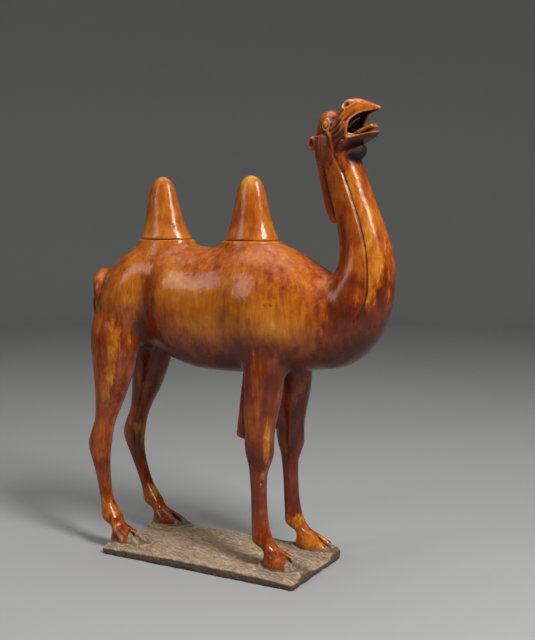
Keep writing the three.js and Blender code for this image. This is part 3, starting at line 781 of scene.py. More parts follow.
class Clay:
    """A mesh's points as arrays in millimetres, to be pushed, drawn and smoothed like soft clay"""

    def __init__(self, mesh):
        self.mesh = mesh
        self.co = self.read(mesh.vertices, "co", np.float32, 3) / MM
        self.ends = self.read(mesh.edges, "vertices", np.int32, 2)
        self.degree = np.bincount(self.ends.ravel(), minlength=len(self.co))
        self.face()

    @staticmethod
    def read(items, name, kind, width):
        values = np.empty(len(items) * width, kind)
        items.foreach_get(name, values)
        return values.reshape(-1, width).astype(float if kind is np.float32 else int)

    def face(self):
        """Writes the points back and takes the way that each one faces"""
        self.mesh.vertices.foreach_set("co", (self.co * MM).astype(np.float32).ravel())
        self.mesh.update()
        self.normal = self.read(self.mesh.vertex_normals, "vector", np.float32, 3)

    def smooth(self, rounds, weight=None, factor=0.5):
        """Relaxes the surface, or only the points that have a weight"""
        size = len(self.co)
        weight = np.ones(size) if weight is None else weight
        active = np.flatnonzero(weight > 0.001)
        place = np.full(size, -1)
        place[active] = np.arange(len(active))
        own = np.concatenate([self.ends[:, 0], self.ends[:, 1]])
        other = np.concatenate([self.ends[:, 1], self.ends[:, 0]])
        kept = place[own] >= 0
        own, other = place[own[kept]], other[kept]
        pull = (weight * factor)[active, None]
        for _ in range(rounds):
            total = [np.bincount(own, column[other], len(active)) for column in self.co.T]
            mean = np.array(total).T / self.degree[active, None]
            self.co[active] += (mean - self.co[active]) * pull

    def hollowness(self, rounds):
        """How deep each point lies under the surface as it would be after some rounds of smoothing"""
        kept = self.co.copy()
        self.smooth(rounds)
        smoothed, self.co = self.co, kept
        return ((smoothed - kept) * self.normal).sum(1)

    def push(self, distance, where=slice(None)):
        self.co[where] += self.normal[where] * distance[:, None]

    def dent(self, points, at, radius, depth, where):
        """Presses a round hollow into the surface at a place of a plane"""
        away = ((points - at) ** 2).sum(1) / radius**2
        near = np.flatnonzero(where & (away < 9))
        self.push(-depth * np.exp(-away[near]), near)

    def comb(self, across, period, depth, strength):
        """Combs hair into the surface: strands that run where the value across them stays the same"""
        near = np.flatnonzero(strength > 0.01)
        phase = across[near] / period
        phase += 0.35 * np.sin(phase * 1.7) + 0.2 * np.sin(self.co[near, 2] / 23 + phase)
        strand = np.floor(phase)
        share = phase - strand
        uneven = 0.7 + 0.3 * np.sin(strand * 2.4)
        self.push(-depth * strength[near] * uneven * np.abs(2 * share - 1) ** 2.2, near)

    def groove(self, points, rows, width, depth, behind=0, behind_reach=0, where=None):
        """Draws a groove along a path in a plane; the surface behind it can be let down as well"""
        path = curve_through(rows, 6 * len(rows))
        reach = 3 * max(width, behind_reach)
        near = ((points > path.min(0) - reach) & (points < path.max(0) + reach)).all(1)
        near = np.flatnonzero(near & where)
        distance, side = from_path(points[near], path)
        ends = np.hypot(*(points[near] - path[0]).T), np.hypot(*(points[near] - path[-1]).T)
        from_end = np.minimum(*ends)
        cut = -depth * np.exp(-((distance / width) ** 2)) * smoothstep(from_end, -width, 3 * width)
        if behind:
            let_down = behind * np.exp(-((distance / behind_reach) ** 2))
            let_down *= smoothstep(-side * distance, -width, width)
            cut -= let_down * smoothstep(from_end, 0, 2 * behind_reach)
        self.push(cut, near)


def roughed_body():
    """Torso, neck and legs pressed together, with their joins smoothed over"""
    sizes = bpy.context.scene.camel_sizes
    forms = [torso(), loft("neck", leaning), *(seat(*at, "rough_seat") for at in SEATS.values())]
    for side in (-1, 1):
        fore_out = FOOT_OUT["fore_left" if side > 0 else "fore_right"]
        hock_back = LEFT_HOCK_BACK if side > 0 else 0
        forms.append(leg("foreleg", side, LEG_TOP_OUT["fore"], fore_out))
        forms.append(leg("hindleg", side, LEG_TOP_OUT["hind"], FOOT_OUT["hind"], hock_back))
    body = skinned(gathered(forms, "rough_body"), sizes.body_voxel)
    clay = Clay(body.data)
    clay.smooth(sizes.join_rounds, smoothstep(clay.co[:, 2], *LEGS_END))
    clay.face()
    return as_form(body)


def head_forms():
    forms = [in_head(hollowed(loft("skull", ends_up), loft("mouth", ends_up), "skull"))]
    forms += [in_head(loft(which, ends_up)) for which in ("jaw", "tongue", "throat_tuft")]
    forms += [lip(UPPER_LIP), lip(LOWER_LIP)]
    for side in (-1, 1):
        forms += [in_head(roll(on_skull(path, side))) for path in WRINKLES]
        forms.append(in_head(ball(NOSTRIL_WING, side)))
        forms.append(in_head(roll([(s, side * out, t, thick) for s, out, t, thick in GUM])))
        forms += eye_forms(side)
        forms.append(in_head(hollowed(ball(EAR, side), ball(EAR_HOLLOW, side), "ear"), 0))
        forms.append(cheek_flap(side))
        forms += [in_head(ball((place, (size, size, size)), side)) for *place, size in TEETH]
    return forms


def fringes_and_tail():
    seats = [seat(*at, "finished_seat") for at in SEATS.values()]
    curl, lock = roll(TAIL_CURL, *TAIL_CURL_CUT), loft("nape_lock", leaning)
    return [tail(), curl, *seats, lock, fringe(-1), fringe(1)]


def round_seat(co, seat_x):
    """How far each point is from a seat's middle, as a share of the hump's reach"""
    return np.hypot((co[:, 0] - seat_x) / HUMP_ALONG, (co[:, 1] - FIGURE_SHIFT) / HUMP_ACROSS)


def foot_places():
    """The middle of each sole, in millimetres"""
    fore, hind = FORELEG[-1][1], HINDLEG[-1][1]
    return [
        (fore, FIGURE_SHIFT - FOOT_OUT["fore_right"]), (fore, FIGURE_SHIFT + FOOT_OUT["fore_left"]),
        (hind, FIGURE_SHIFT - FOOT_OUT["hind"]), (hind, FIGURE_SHIFT + FOOT_OUT["hind"]),
    ]


def tool_body(clay):
    """Shapes haunch and shoulder, then draws the lines of the throat"""
    side_view = clay.co[:, (0, 2)]
    out = np.abs(clay.co[:, 1] - FIGURE_SHIFT)
    for groove in BODY_GROOVES:
        clay.groove(side_view, *groove, where=out > FLANK_OUT)
    clay.face()
    z = clay.co[:, 2]
    soften = np.zeros(len(z))
    near = np.flatnonzero((out > FLANK_OUT) & (z > SOFT_ABOVE))
    for path in (THIGH_EDGE, SHOULDER_VALLEY):
        distance, _ = from_path(side_view[near], curve_through(path, 24))
        soften[near] = np.maximum(soften[near], fade(distance, *SOFT_BESIDE))
    for seat_x, seat_z in SEATS.values():
        skirt = band(seat_z - z, *SKIRT["below"]) * fade(round_seat(clay.co, seat_x), *SKIRT["out"])
        soften = np.maximum(soften, skirt)
    clay.smooth(bpy.context.scene.camel_sizes.haunch_rounds, soften)
    clay.face()
    for groove in THROAT_GROOVES:
        clay.groove(side_view, *groove, where=out > NECK_OUT)
    clay.face()


def tool_feet(clay):
    """Cuts the cleft between the two toes of each foot"""
    x, y, z = clay.co.T.copy()
    low = (z < TOE_GROOVE["top"]) & (z > SOLE + 2)
    for foot_x, foot_y in foot_places():
        near = low & (np.hypot(x - foot_x, y - foot_y) < TOE_GROOVE["reach"])
        path = [(foot_x + ahead, foot_y) for ahead in TOE_GROOVE["along"]]
        clay.groove(clay.co[:, :2], path, TOE_GROOVE["width"], TOE_GROOVE["depth"], where=near)
    clay.face()


def tool_head(clay):
    """Rounds off the lips and cuts the lines of the face, then combs the hair of head, neck and tail"""
    head = in_head_space(clay.co)
    s, out, t = head.T
    side_view = head[:, (0, 2)]
    face = (s > FACE["from"]) & (s < FACE["to"]) & (t > FACE["bottom"]) & (np.abs(out) > FACE["out"])
    (low_s, high_s), (low_t, high_t) = LIP_REGION
    near = np.flatnonzero(face | ((s > low_s) & (s < high_s) & (t > low_t) & (t < high_t)))
    spot = np.stack([s[near], t[near], np.abs(out[near])], 1)
    lips = np.zeros(len(s))
    for rows in (UPPER_LIP, LOWER_LIP):
        path = curve_through([row[:3] for row in rows], 40)
        distance = np.min([np.linalg.norm(spot - point, axis=1) for point in path], 0)
        lips[near] = np.maximum(lips[near], fade(distance, *LIP_SOFT))
    clay.smooth(bpy.context.scene.camel_sizes.lip_rounds, lips)
    clay.face()
    for line in FACE_LINES:
        clay.groove(side_view, line, FACE["line_width"], FACE["line_depth"], where=face)
    ring = eye_ring(EYE["groove_beyond"])
    clay.groove(side_view, ring, EYE["groove_width"], EYE["groove_depth"], where=face)
    for dent in (EYE_PIT, NOSTRIL_HOLE):
        clay.dent(side_view, dent["at"], dent["radius"], dent["depth"], face)
    clay.smooth(2, 0.8 * face)
    clay.face()
    comb_hair(clay)


def hair_strength(co):
    """How strongly each kind of hair is combed at each point"""
    x, y, z = co.T
    ahead, out, up = in_head_space(co, 0).T
    s, _, t = in_head_space(co).T
    lock_x, lock_z = np.array([row[:2] for row in reversed(NAPE_LOCK)], float).T
    measures = {
        "x": x, "z": z, "s": s, "t": t, "ahead": ahead, "up": up, "out": np.abs(out),
        "off_middle": np.abs(y - FIGURE_SHIFT), "past_lock": x - np.interp(z, lock_z, lock_x),
    }
    return {
        name: math.prod(band(measures[measure], *steps) for measure, steps in bounds.items())
        for name, bounds in HAIR_AREAS.items()
    }


def comb_hair(clay):
    strength = hair_strength(clay.co)
    flat, start = in_head_space(clay.co, 0), clay.co.copy()
    waver = np.sin(start[:, 2] / 9) * 0.6
    for name, across, period, depth in COMBING:
        clay.comb((flat if name == "flap" else start) @ across + waver, period, depth, strength[name])
    clay.face()


def figure():
    sizes = bpy.context.scene.camel_sizes
    forms = [roughed_body(), *head_forms(), *fringes_and_tail()]
    for form in forms:
        bmesh.ops.translate(form, vec=(0, FIGURE_SHIFT * MM, 0), verts=form.verts)
    body = skinned(gathered(forms, "glazed_camel"), sizes.skin_voxel)
    clay = Clay(body.data)
    clay.smooth(3)
    clay.face()
    for tool in (tool_body, tool_head, tool_feet):
        tool(clay)
    clay.smooth(1)
    clay.face()
    mark_relief(clay)
    thinned = body.vertex_groups.new(name="thinned")
    s, _, t = in_head_space(clay.co).T
    outside = (s < FINE_HEAD["from"]) | (t < FINE_HEAD["bottom"])
    thinned.add(np.flatnonzero(outside).tolist(), 1.0, "REPLACE")
    thin = body.modifiers.new("Thin", "DECIMATE")
    thin.vertex_group = thinned.name
    thin.ratio = sizes.body_triangles / (2 * len(body.data.polygons))
    applied(body)
    body.vertex_groups.clear()
    body.data.shade_smooth()
    return body


def hump(name, x, z, lean):
    def place(row, ahead, aside):
        height, back, half = row
        y = FIGURE_SHIFT + aside * half * HUMP_ACROSS / HUMP_ALONG
        return x + lean * back + ahead * half, y, z + height

    piece = gathered([loft("hump", place)], name)
    piece.data.shade_smooth()
    return piece


def rounded(form, edges, offset, segments):
    bmesh.ops.bevel(
        form, geom=edges, offset=offset * MM, offset_type="OFFSET", segments=segments, profile=0.5,
        affect="EDGES", material=-1)


def unevenness(x, y, z):
    """Broad swells, slanting strokes, crumbs and the swells of the worn edges, at a point of the slab"""
    places = [
        (0.03 * x, 0.05 * y, 7), (0.05 * x + 0.03 * y, 0.13 * y, 3),
        (0.16 * x, 0.2 * y, 0.2 * z), (0.05 * x, 0.05 * y, 0.02 * z + 20),
    ]
    return [noise.noise(Vector(place)) for place in places]


def slab():
    """A hand-made slab: domed along its length, its edges uneven, wet clay pushed up round the soles"""
    low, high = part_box("base_slab")
    form = bmesh.new()
    bmesh.ops.create_cube(form, size=1)
    place = Matrix.Translation((low + high) / 2) @ Matrix.Diagonal((*(high - low), 1))
    bmesh.ops.transform(form, matrix=place, verts=form.verts)
    upright = [e for e in form.edges if abs(e.verts[0].co.z - e.verts[1].co.z) > MM]
    rounded(form, upright, SLAB["corner"], 4)
    rims = [e for e in form.edges if min(v.co.z for v in e.verts) > high.z - MM / 10]
    rounded(form, rims, SLAB["rim"], 3)
    piece = skinned(gathered([form], "clay_slab"), bpy.context.scene.camel_sizes.slab_voxel)
    clay = Clay(piece.data)
    x, y, z = clay.co.T.copy()
    swells, strokes, crumbs, edge_swells = np.array([unevenness(*point) for point in clay.co]).T
    half = (high - low) / 2 / MM
    middle = (low + high) / 2 / MM
    top = SLAB["crown"] - SLAB["dome"] * ((x - middle.x) / half.x) ** 2
    top += SLAB["swells"] * swells + SLAB["strokes"] * strokes
    painted_sole_shade = np.zeros(len(x))
    reach_x, reach_y = SLAB["foot_reach"]
    for foot_x, foot_y in foot_places():
        away = np.hypot((x - foot_x - 2) / reach_x, (y - foot_y) / reach_y)
        away += SOLE_RINGS["uneven"] * edge_swells
        # painted shade on the clay round each sole
        painted_sole_shade = np.maximum(painted_sole_shade, 0.8 * fade(away, *SOLE_RINGS["earth"]))
        level = np.where(away < SOLE_RINGS["level"], np.maximum(top, SLAB["foot_level"]), top)
        rim = SLAB["luting"] * fade(away, *SOLE_RINGS["luting"]) * (1 + 0.5 * edge_swells)
        slope = SLAB["luting_slope"] * fade(away, *SOLE_RINGS["slope"])
        top = level + rim + slope * (0.6 + edge_swells)
    top += SLAB["crumbs"] * crumbs
    clay.co[:, 2] = z * top / SLAB_TOP
    wear = SLAB["wear"] + SLAB["wear_swells"] * edge_swells + SLAB["wear_crumbs"] * crumbs
    for k, along in enumerate((x, y)):
        inset = smoothstep(np.abs(along - middle[k]), half[k] - SLAB["edge"], half[k])
        clay.co[:, k] -= np.sign(along - middle[k]) * np.maximum(wear, SLAB["least_wear"]) * inset
    clay.face()
    piece.data.shade_smooth()
    side = fade(clay.normal[:, 2], *SLAB["side_facing"])
    mark_relief(clay)
    # the side mark darkens the slab's sides and paints the shade round each sole
    mark(piece.data, "side", np.maximum(side, painted_sole_shade))
    return piece


class Finish:
    """A material whose pattern nodes read a piece's Object coordinates and its painted marks"""

    def __init__(self, name, roughness=0.5, **constants):
        self.material = bpy.data.materials.new(name)
        self.material.use_nodes = True
        self.tree = self.material.node_tree
        self.shader = self.tree.nodes["Principled BSDF"]
        self.shader.inputs["Roughness"].default_value = roughness
        for socket, value in constants.items():
            self.shader.inputs[socket.replace("_", " ")].default_value = value
        self.place = self.node("TexCoord").outputs["Object"]

    def node(self, kind, inputs=None, **settings):
        made = self.tree.nodes.new("ShaderNode" + kind)
        for name, value in settings.items():
            setattr(made, name, value)
        for name, value in (inputs or {}).items():
            self.feed(made.inputs[name], value)
        return made

    def feed(self, socket, value):
        if isinstance(value, bpy.types.NodeSocket):
            self.tree.links.new(value, socket)
        else:
            socket.default_value = value

    def noise(self, which, place=None):
        """One of the named patterns, from 0 to 1"""
        scale, detail, rough, warp = PATTERNS[which]
        vector = self.node("Mapping", {"Vector": place or self.place, "Scale": scale}).outputs[0]
        return self.node("TexNoise", {
            "Vector": vector, "Scale": 1, "Detail": detail, "Roughness": rough, "Distortion": warp,
        }).outputs["Fac"]

    def spots(self, scale, size, soft):
        """Scattered round spots, 1 in their middles"""
        cells = self.node("TexVoronoi", {"Vector": self.place, "Scale": scale, "Randomness": 1.0})
        return self.step(cells.outputs["Distance"], size + soft, size)

    def step(self, value, low, high):
        """0 below low and 1 above high; low may be the greater one"""
        return self.node("MapRange", {
            "Value": value, "From Min": low, "From Max": high, "To Min": 0, "To Max": 1,
        }, clamp=True).outputs[0]

    def math(self, operation, a, b):
        return self.node("Math", {0: a, 1: b}, operation=operation).outputs[0]

    def added(self, base, *terms):
        """The base with a share of each term's value added"""
        for value, share in terms:
            base = self.math("ADD", base, self.math("MULTIPLY", value, share))
        return base

    def swayed(self, base, *patterns):
        """The base, raised and lowered by a share of each pattern"""
        return self.added(base, *((self.math("SUBTRACT", value, 0.5), share) for value, share in patterns))

    def mix(self, share, a, b):
        made = self.node("Mix", data_type="RGBA")
        self.feed(made.inputs[0], share)
        for index, value in ((6, a), (7, b)):
            self.feed(made.inputs[index], value if isinstance(value, bpy.types.NodeSocket) else (*value, 1))
        return made.outputs[2]

    def layered(self, base, *layers):
        """A colour with others laid over it in turn: share, where, colour"""
        for share, where, over in layers:
            base = self.mix(self.math("MULTIPLY", where, share), base, over)
        return base

    def ramp(self, value, *stops):
        made = self.node("ValToRGB", {"Fac": value})
        elements = made.color_ramp.elements
        while len(elements) < len(stops):
            elements.new(0.5)
        for element, (at, tint) in zip(elements, stops):
            element.position = at
            element.color = (*tint, 1)
        return made.outputs[0]

    def mark(self, name):
        return self.node("Attribute", attribute_name=name).outputs["Fac"]

    def finish(self, base, roughness=None, height=None, depth=0):
        """Feeds the shader; the depth of the height's relief is in millimetres"""
        self.feed(self.shader.inputs["Base Color"], base)
        if roughness is not None:
            self.feed(self.shader.inputs["Roughness"], roughness)
        if height is not None:
            bump = self.node("Bump", {"Height": height, "Distance": depth * MM, "Strength": 1.0})
            self.feed(self.shader.inputs["Normal"], bump.outputs[0])
        return self.material


def finish_colors(*names):
    colors = bpy.context.scene.camel_finishes
    return [tuple(getattr(colors, name)) for name in names]


def glaze(name, lightness):
    """Amber glaze that ran down as it melted: thick and dark in hollows, thin and golden on edges"""
    # Shade, some light and some highlights are painted into its colour too, by the dark, thin and pale
    # marks
    deep, dark_brown, brown, amber, gold, straw = finish_colors(
        "deep", "dark_brown", "brown", "amber", "gold", "straw")
    painted_highlight_edge, teeth, clay, clay_dark, earth = finish_colors(
        "painted_highlight_edge", "teeth", "clay", "clay_dark", "clay_earth")
    skin = Finish(name, IOR=1.5, Specular_IOR_Level=0.36)
    recess, hair, dark = skin.mark("recess"), skin.mark("hair"), skin.mark("dark")
    patches = skin.noise("patches")
    runs = skin.noise("runs")
    fine_runs = skin.noise("fine_runs")
    blotches = skin.noise("blotches")
    # how thin the glaze is, with the painted light and shade of the thin mark
    thinness_and_painted_light = skin.swayed(
        skin.math("ADD", skin.mark("thin"), lightness),
        (patches, 0.7), (runs, 0.5), (fine_runs, 0.22), (blotches, 0.4))
    veins = skin.step(skin.noise("veins"), 0.6, 0.72)
    drips = skin.step(skin.swayed(skin.mark("golden"), (runs, 1.6), (blotches, 1.4)), 0.3, 0.75)
    drip_tone = skin.ramp(blotches, (0.4, amber), (0.54, gold), (0.72, straw))
    # painted highlights on nostril, lids and lips, broken up by noise
    edge_highlight = skin.math("MULTIPLY", skin.mark("pale"), skin.step(skin.noise("highlight_breaks"), 0.3, 0.6))
    pooled = skin.step(recess, 0.04, 0.6)
    hair_tone = skin.mix(skin.step(skin.noise("strands"), 0.4, 0.6), dark_brown, brown)
    crowded = skin.added(skin.noise("crowding"), (skin.mark("specks"), 0.14))
    pits = skin.math("MULTIPLY", skin.spots(PIT_SCALE, PIT_SIZE, PIT_EDGE), skin.step(crowded, 0.54, 0.66))
    pits = skin.math("MAXIMUM", pits, skin.mark("scars"))
    bare = skin.step(skin.swayed(skin.mark("bare"), (skin.noise("bare_edge"), 1.2)), 0.42, 0.56)
    bare_tone = skin.ramp(skin.noise("earth"), (0.3, earth), (0.44, clay_dark), (0.6, clay))
    base = skin.layered(
        skin.ramp(thinness_and_painted_light, (0.2, dark_brown), (0.37, brown), (0.54, amber), (0.76, gold), (0.97, straw)),
        (0.4, veins, dark_brown),
        (0.75, drips, drip_tone),
        (0.5, skin.step(skin.mark("edge"), 0.3, 0.9), straw),
        # painted highlights
        (0.62, edge_highlight, painted_highlight_edge),
        (0.8, pooled, dark_brown),
        (0.7, skin.step(recess, 0.5, 1.4), deep),
        (0.6, hair, hair_tone),
        # painted shade, from the dark mark
        (1, dark, deep),
        (1, skin.mark("teeth"), teeth),
        (0.85, pits, deep),
        (1, bare, bare_tone),
    )
    smears = skin.step(skin.noise("smears"), 0.42, 0.75)
    rough = skin.added(0.13, (smears, 0.15), (hair, 0.2), (dark, 0.3), (bare, 0.6), (pooled, 0.08))
    height = skin.added(
        skin.noise("waves"), (pits, -0.3), (runs, 0.35), (skin.noise("ripples"), 0.07), (bare, -0.5),
        (skin.noise("orange_peel"), 0.05), (drips, 0.12))
    return skin.finish(base, skin.math("MINIMUM", rough, 1), height, 1)


def bare_clay(name):
    """Unglazed buff clay, brushed while wet, with earth and painted shade in its hollows and darker sides
    """
    clay, dark, earth, pale = finish_colors("clay", "clay_dark", "clay_earth", "clay_pale")
    body = Finish(name, CLAY_ROUGHNESS)
    slanting = body.node("Mapping", {"Vector": body.place, "Rotation": (0, 0, STROKE_SLANT)}).outputs[0]
    patches = body.noise("clay_patches")
    strokes = body.noise("strokes", slanting)
    crumbs = body.noise("crumbs")
    grain = body.noise("grain")
    tone = body.added(0, (patches, 0.6), (strokes, 0.28), (crumbs, 0.42))
    layers = body.step(body.noise("layers"), 0.38, 0.6)
    rubs = body.step(body.noise("rubs"), 0.63, 0.68)
    base = body.layered(
        body.ramp(tone, (0.5, dark), (0.6, clay), (0.7, clay), (0.8, pale)),
        (0.75, body.step(strokes, 0.54, 0.6), pale),
        (0.55, body.step(strokes, 0.46, 0.4), dark),
        (0.75, body.step(crumbs, 0.44, 0.34), dark),
        (0.25, body.step(grain, 0.55, 0.75), dark),
        # darker sides, and the painted shade round each sole
        (0.9, body.mark("side"), body.mix(layers, earth, [0.6 * part for part in dark])),
        (0.7, rubs, pale),
        (0.6, body.step(body.mark("recess"), 0.05, 0.5), dark),
    )
    height = body.added(0, (strokes, 0.7), (grain, 0.2), (crumbs, 0.8), (rubs, 0.21))
    return body.finish(base, None, height, 1.4)


def mark(mesh, name, values):
    """Paints a value on each point of a mesh, for its material to read"""
    layer = mesh.attributes.new(name, "FLOAT", "POINT")
    layer.data.foreach_set("value", np.asarray(values, np.float32))


def mark_relief(clay):
    """Marks how deep each point lies in a hollow, and how far it stands out on an edge"""
    fine, broad = (clay.hollowness(rounds) for rounds in RELIEF["rounds"])
    fine_share, broad_share = RELIEF["shares"]
    mark(clay.mesh, "recess", np.clip(fine * fine_share + broad * broad_share, 0, 2))
    mark(clay.mesh, "edge", np.clip(-fine, 0, 2))


def blobs(co, rows):
    """What some soft round areas add up to at each point: middle, reach, strength"""
    return sum(strength * np.exp(-(((co - at) / reach) ** 2).sum(1)) for at, reach, strength in rows)


def spots(co, rows):
    """Small round places: middle and radius"""
    return sum(fade(np.linalg.norm(co - at, axis=1), 0.6 * radius, 1.3 * radius) for at, radius in rows)


def bare_feet(co):
    """Where the toes and soles were left unglazed"""
    bare = np.zeros(len(co))
    for (foot_x, foot_y), start in zip(foot_places(), BARE_TOES):
        ahead, aside, height = (co - (foot_x, foot_y, 0)).T
        foot = (np.hypot(ahead, aside) < BARE_FOOT["reach"]) & (height < BARE_FOOT["top"])
        toes = smoothstep(ahead + BARE_FOOT["slope"] * height, start, start + BARE_FOOT["soft"])
        bare = np.maximum(bare, foot * np.maximum(toes, fade(height, *BARE_FOOT["sole"])))
    return bare


def golden_drips(co):
    """Where the glaze ran golden: in drips, beside the throat's line and round the rims of the seats"""
    x, y, z = co.T
    line_x, line_z = np.array(THROAT_LINE[::-1]).T
    strip = band(x - np.interp(z, line_z, line_x), *THROAT_STRIP["ahead"]) * band(z, *THROAT_STRIP["z"])
    strip *= smoothstep(FIGURE_SHIFT - y, *THROAT_STRIP["right"])
    golden = blobs(co, GOLDEN_AREAS) + THROAT_STRIP["strength"] * strip
    for seat_x, seat_z in SEATS.values():
        away = round_seat(co, seat_x)
        rim = np.exp(-(((seat_z - z - GOLDEN_RIM["below"]) / GOLDEN_RIM["height"]) ** 2))
        golden += rim * (away > GOLDEN_RIM["from"]) * (away < GOLDEN_RIM["to"])
    return golden


def mouth_marks(clay, s, out, t):
    """Which points lie in the hollow of the mouth, and which on teeth or gum"""
    teeth = np.zeros(len(s), bool)
    gum = [(*place, thick + MOUTH["gum_margin"]) for *place, thick in curve_through(GUM, 24)]
    for *at, size in TEETH + gum:
        teeth |= ((np.stack([s, out, t], 1) - at) ** 2).sum(1) < (size + MOUTH["tooth_margin"]) ** 2
    inside = (s > MOUTH["from"]) & (s < MOUTH["to"]) & (out < np.interp(s, *MOUTH_HALF))
    inside &= (t < np.interp(s, *MOUTH_ROOF) + MOUTH["over"]) & (t > np.interp(s, *MOUTH_FLOOR))
    rim = (out > np.interp(s, *MOUTH_RIM_HALF)) & (t < np.interp(s, *MOUTH_RIM) + MOUTH["over"])
    across = np.array(head_matrix().to_3x3())[:, 1]
    facing_in = (clay.normal @ across) * np.sign(in_head_space(clay.co)[:, 1]) < -0.2
    tongue = (s > MOUTH["tongue_from"]) & (out < MOUTH["tongue_half"])
    tongue &= (t < np.interp(s, *TONGUE_TOP)) & (t > np.interp(s, *TONGUE_FOOT))
    return inside & (facing_in | ~rim) & ~tongue & ~teeth, teeth


def mark_glaze(piece):
    """Marks thin or golden glaze, painted highlights, light and shade, and where hair and bare clay change
    it
    """
    clay = Clay(piece.data)
    co, z = clay.co, clay.co[:, 2]
    s, out, t = in_head_space(co).T
    out = np.abs(out)
    on_head = np.flatnonzero((s > 0) & (s < 130) & (out > 8) & (t > -60))
    aside = np.stack([s, t], 1)[on_head]
    golden = golden_drips(co)
    golden[on_head] = np.maximum(golden[on_head], fade(np.hypot(*(aside - EYE["at"]).T), 5, 7))
    # pale marks the painted highlights on nostril, lips and lids
    pale = np.zeros(len(co))
    for path, width, share in (*PAINTED_HIGHLIGHT_EDGES, (eye_ring(-0.4), 1.1, 0.8)):
        distance, _ = from_path(aside, np.array([row[:2] for row in path], float))
        pale[on_head] = np.maximum(pale[on_head], share * fade(distance, 0.3 * width, 1.4 * width))
    hollow, teeth = mouth_marks(clay, s, out, t)
    under_jaw = smoothstep(np.interp(s, *JAW_EDGE) - t, *SHADE["under_jaw"])
    under_chin = under_jaw * smoothstep(s, *SHADE["chin_from"]) * (z > SHADE["chin_above"])
    distance, _ = from_path(aside, np.array(CHEEK_CREASE, float))
    under_chin[on_head] = np.maximum(under_chin[on_head], 0.7 * fade(distance, *SHADE["crease"]))
    low, high = SHADE["belly"]
    under_belly = smoothstep(-clay.normal[:, 2], *SHADE["facing_down"]) * (z > low) * (z < high)
    hair = hair_strength(co)
    marks = {
        # thinner glaze, and painted light and shade
        "thin": blobs(co, GLAZE_AND_PAINTED_LIGHT_AREAS),
        "golden": golden,
        "pale": pale,
        # painted shade: mouth's hollow, under chin and jaw, cheek's crease, under belly, throat tuft
        "dark": np.max([hollow, 0.85 * under_chin, 0.6 * under_belly, hair["tuft"]], 0),
        "teeth": teeth,
        "hair": np.max([hair["flap"], 0.35 * hair["lock"], hair["tuft"]], 0),
        "bare": np.maximum(bare_feet(co), spots(co, CHIPS)),
        "scars": spots(co, SCARS),
        "specks": blobs(co, SPECKLED_AREAS),
    }
    for name, values in marks.items():
        mark(piece.data, name, values)


def finish_piece(piece, material, slot, *nodes):
    piece.data.materials.clear()
    piece.data.materials.append(material)
    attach(piece, "root")
    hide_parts(*nodes)


class CAMEL_OT_figure(bpy.types.Operator):
    """Model the glazed camel"""

    bl_idname = "camel.figure"
    bl_label = "Glazed Camel"

    def execute(self, context):
        body = figure()
        mark_glaze(body)
        finish_piece(body, glaze("amber glaze", BODY_LIGHTNESS), "amber_glaze", "camel_body")
        return {"FINISHED"}


class CAMEL_OT_humps(bpy.types.Operator):
    """Model the two loose humps"""

    bl_idname = "camel.humps"
    bl_label = "Loose Humps"

    def execute(self, context):
        material = glaze("hump glaze", HUMP_LIGHTNESS)
        for which, (x, z) in SEATS.items():
            piece = hump(f"{which}_glazed_hump", x, z, HUMP_LEAN[which])
            mark_glaze(piece)
            seam = np.exp(-(((Clay(piece.data).co[:, 2] - z) / SEAM_HEIGHT) ** 2))
            mark(piece.data, "recess", seam)
            finish_piece(piece, material, "amber_glaze", f"{which}_hump")
        return {"FINISHED"}


class CAMEL_OT_slab(bpy.types.Operator):
    """Model the clay slab"""

    bl_idname = "camel.slab"
    bl_label = "Clay Slab"

    def execute(self, context):
        finish_piece(slab(), bare_clay("bare clay"), "bare_clay", "base_slab")
        return {"FINISHED"}


def backdrop():
    """A round floor that sweeps up into a wall on every side"""
    steps, bend = BACKDROP["steps"], BACKDROP["bend"]
    form = tube(96, steps + 1)
    lid = [f for f in form.faces if len(f.verts) > 4 and f.calc_center_median().z > 0.4]
    bmesh.ops.delete(form, geom=lid, context="FACES_ONLY")
    for vertex in form.verts:
        share = vertex.co.z + 0.5
        turn = min(share * (steps + 1) / steps, 1) * math.pi / 2
        out = BACKDROP["reach"] + bend * math.sin(turn)
        up = bend * (1 - math.cos(turn)) if share < 0.99 else BACKDROP["height"]
        vertex.co = Vector((vertex.co.x * out, vertex.co.y * out, up))
    bmesh.ops.reverse_faces(form, faces=form.faces[:])
    return form


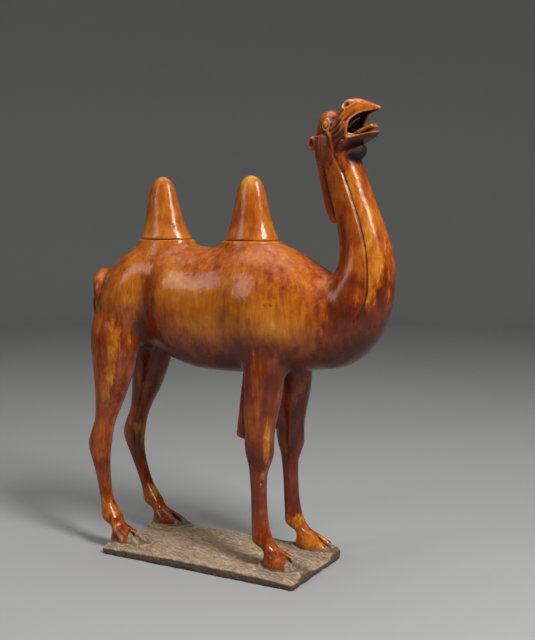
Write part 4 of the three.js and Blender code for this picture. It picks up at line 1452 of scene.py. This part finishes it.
class CAMEL_OT_stage(bpy.types.Operator):
    """Set the floor, the lights and the camera"""

    bl_idname = "camel.stage"
    bl_label = "Studio Stage"

    def execute(self, context):
        scene, studio = context.scene, context.scene.camel_studio
        floor = gathered([backdrop()], "floor")
        floor.data.materials.append(Finish("floor", FLOOR_ROUGHNESS).finish((*studio.floor_color, 1)))
        floor.data.shade_smooth()
        camera = bpy.data.objects.new("camera", bpy.data.cameras.new("camera"))
        camera.location = studio.camera_place
        camera.rotation_euler = (math.pi / 2 - studio.camera_dip, 0, studio.camera_turn)
        camera.data.lens = studio.lens
        scene.collection.objects.link(camera)
        scene.camera = camera
        scene.world = bpy.data.worlds.new("studio")
        scene.world.use_nodes = True
        surroundings = scene.world.node_tree.nodes["Background"].inputs
        surroundings["Color"].default_value = (*studio.surroundings_color, 1)
        surroundings["Strength"].default_value = studio.surroundings
        scene.view_settings.view_transform = "Standard"
        aim = Vector((0, 0, studio.aim_height))
        for name, place, size, power in STUDIO_LIGHTS:
            light = bpy.data.objects.new(name, bpy.data.lights.new(name, "AREA"))
            light.data.shape = "RECTANGLE"
            light.data.size, light.data.size_y = size
            light.data.energy = power
            light.location = place
            light.rotation_euler = (aim - light.location).to_track_quat("-Z", "Y").to_euler()
            scene.collection.objects.link(light)
        return {"FINISHED"}


class CAMEL_PT_panel(bpy.types.Panel):
    """The camel's pieces and its stage"""

    bl_label = "Camel Figure"
    bl_space_type = "VIEW_3D"
    bl_region_type = "UI"
    bl_category = "Camel"

    def draw(self, context):
        for operator in OPERATORS:
            self.layout.operator(operator.bl_idname)


OPERATORS = (CAMEL_OT_figure, CAMEL_OT_humps, CAMEL_OT_slab, CAMEL_OT_stage)
CLASSES = (CamelSizes, CamelFinishes, CamelStudio, *OPERATORS, CAMEL_PT_panel)


def register():
    for cls in CLASSES:
        bpy.utils.register_class(cls)
    bpy.types.Scene.camel_sizes = bpy.props.PointerProperty(type=CamelSizes)
    bpy.types.Scene.camel_finishes = bpy.props.PointerProperty(type=CamelFinishes)
    bpy.types.Scene.camel_studio = bpy.props.PointerProperty(type=CamelStudio)


def unregister():
    del bpy.types.Scene.camel_sizes, bpy.types.Scene.camel_finishes, bpy.types.Scene.camel_studio
    for cls in reversed(CLASSES):
        bpy.utils.unregister_class(cls)


def main():
    register()
    bpy.ops.camel.figure()
    bpy.ops.camel.humps()
    bpy.ops.camel.slab()
    bpy.ops.camel.stage()
    bpy.context.view_layer.update()


if __name__ == "__main__":
    main()
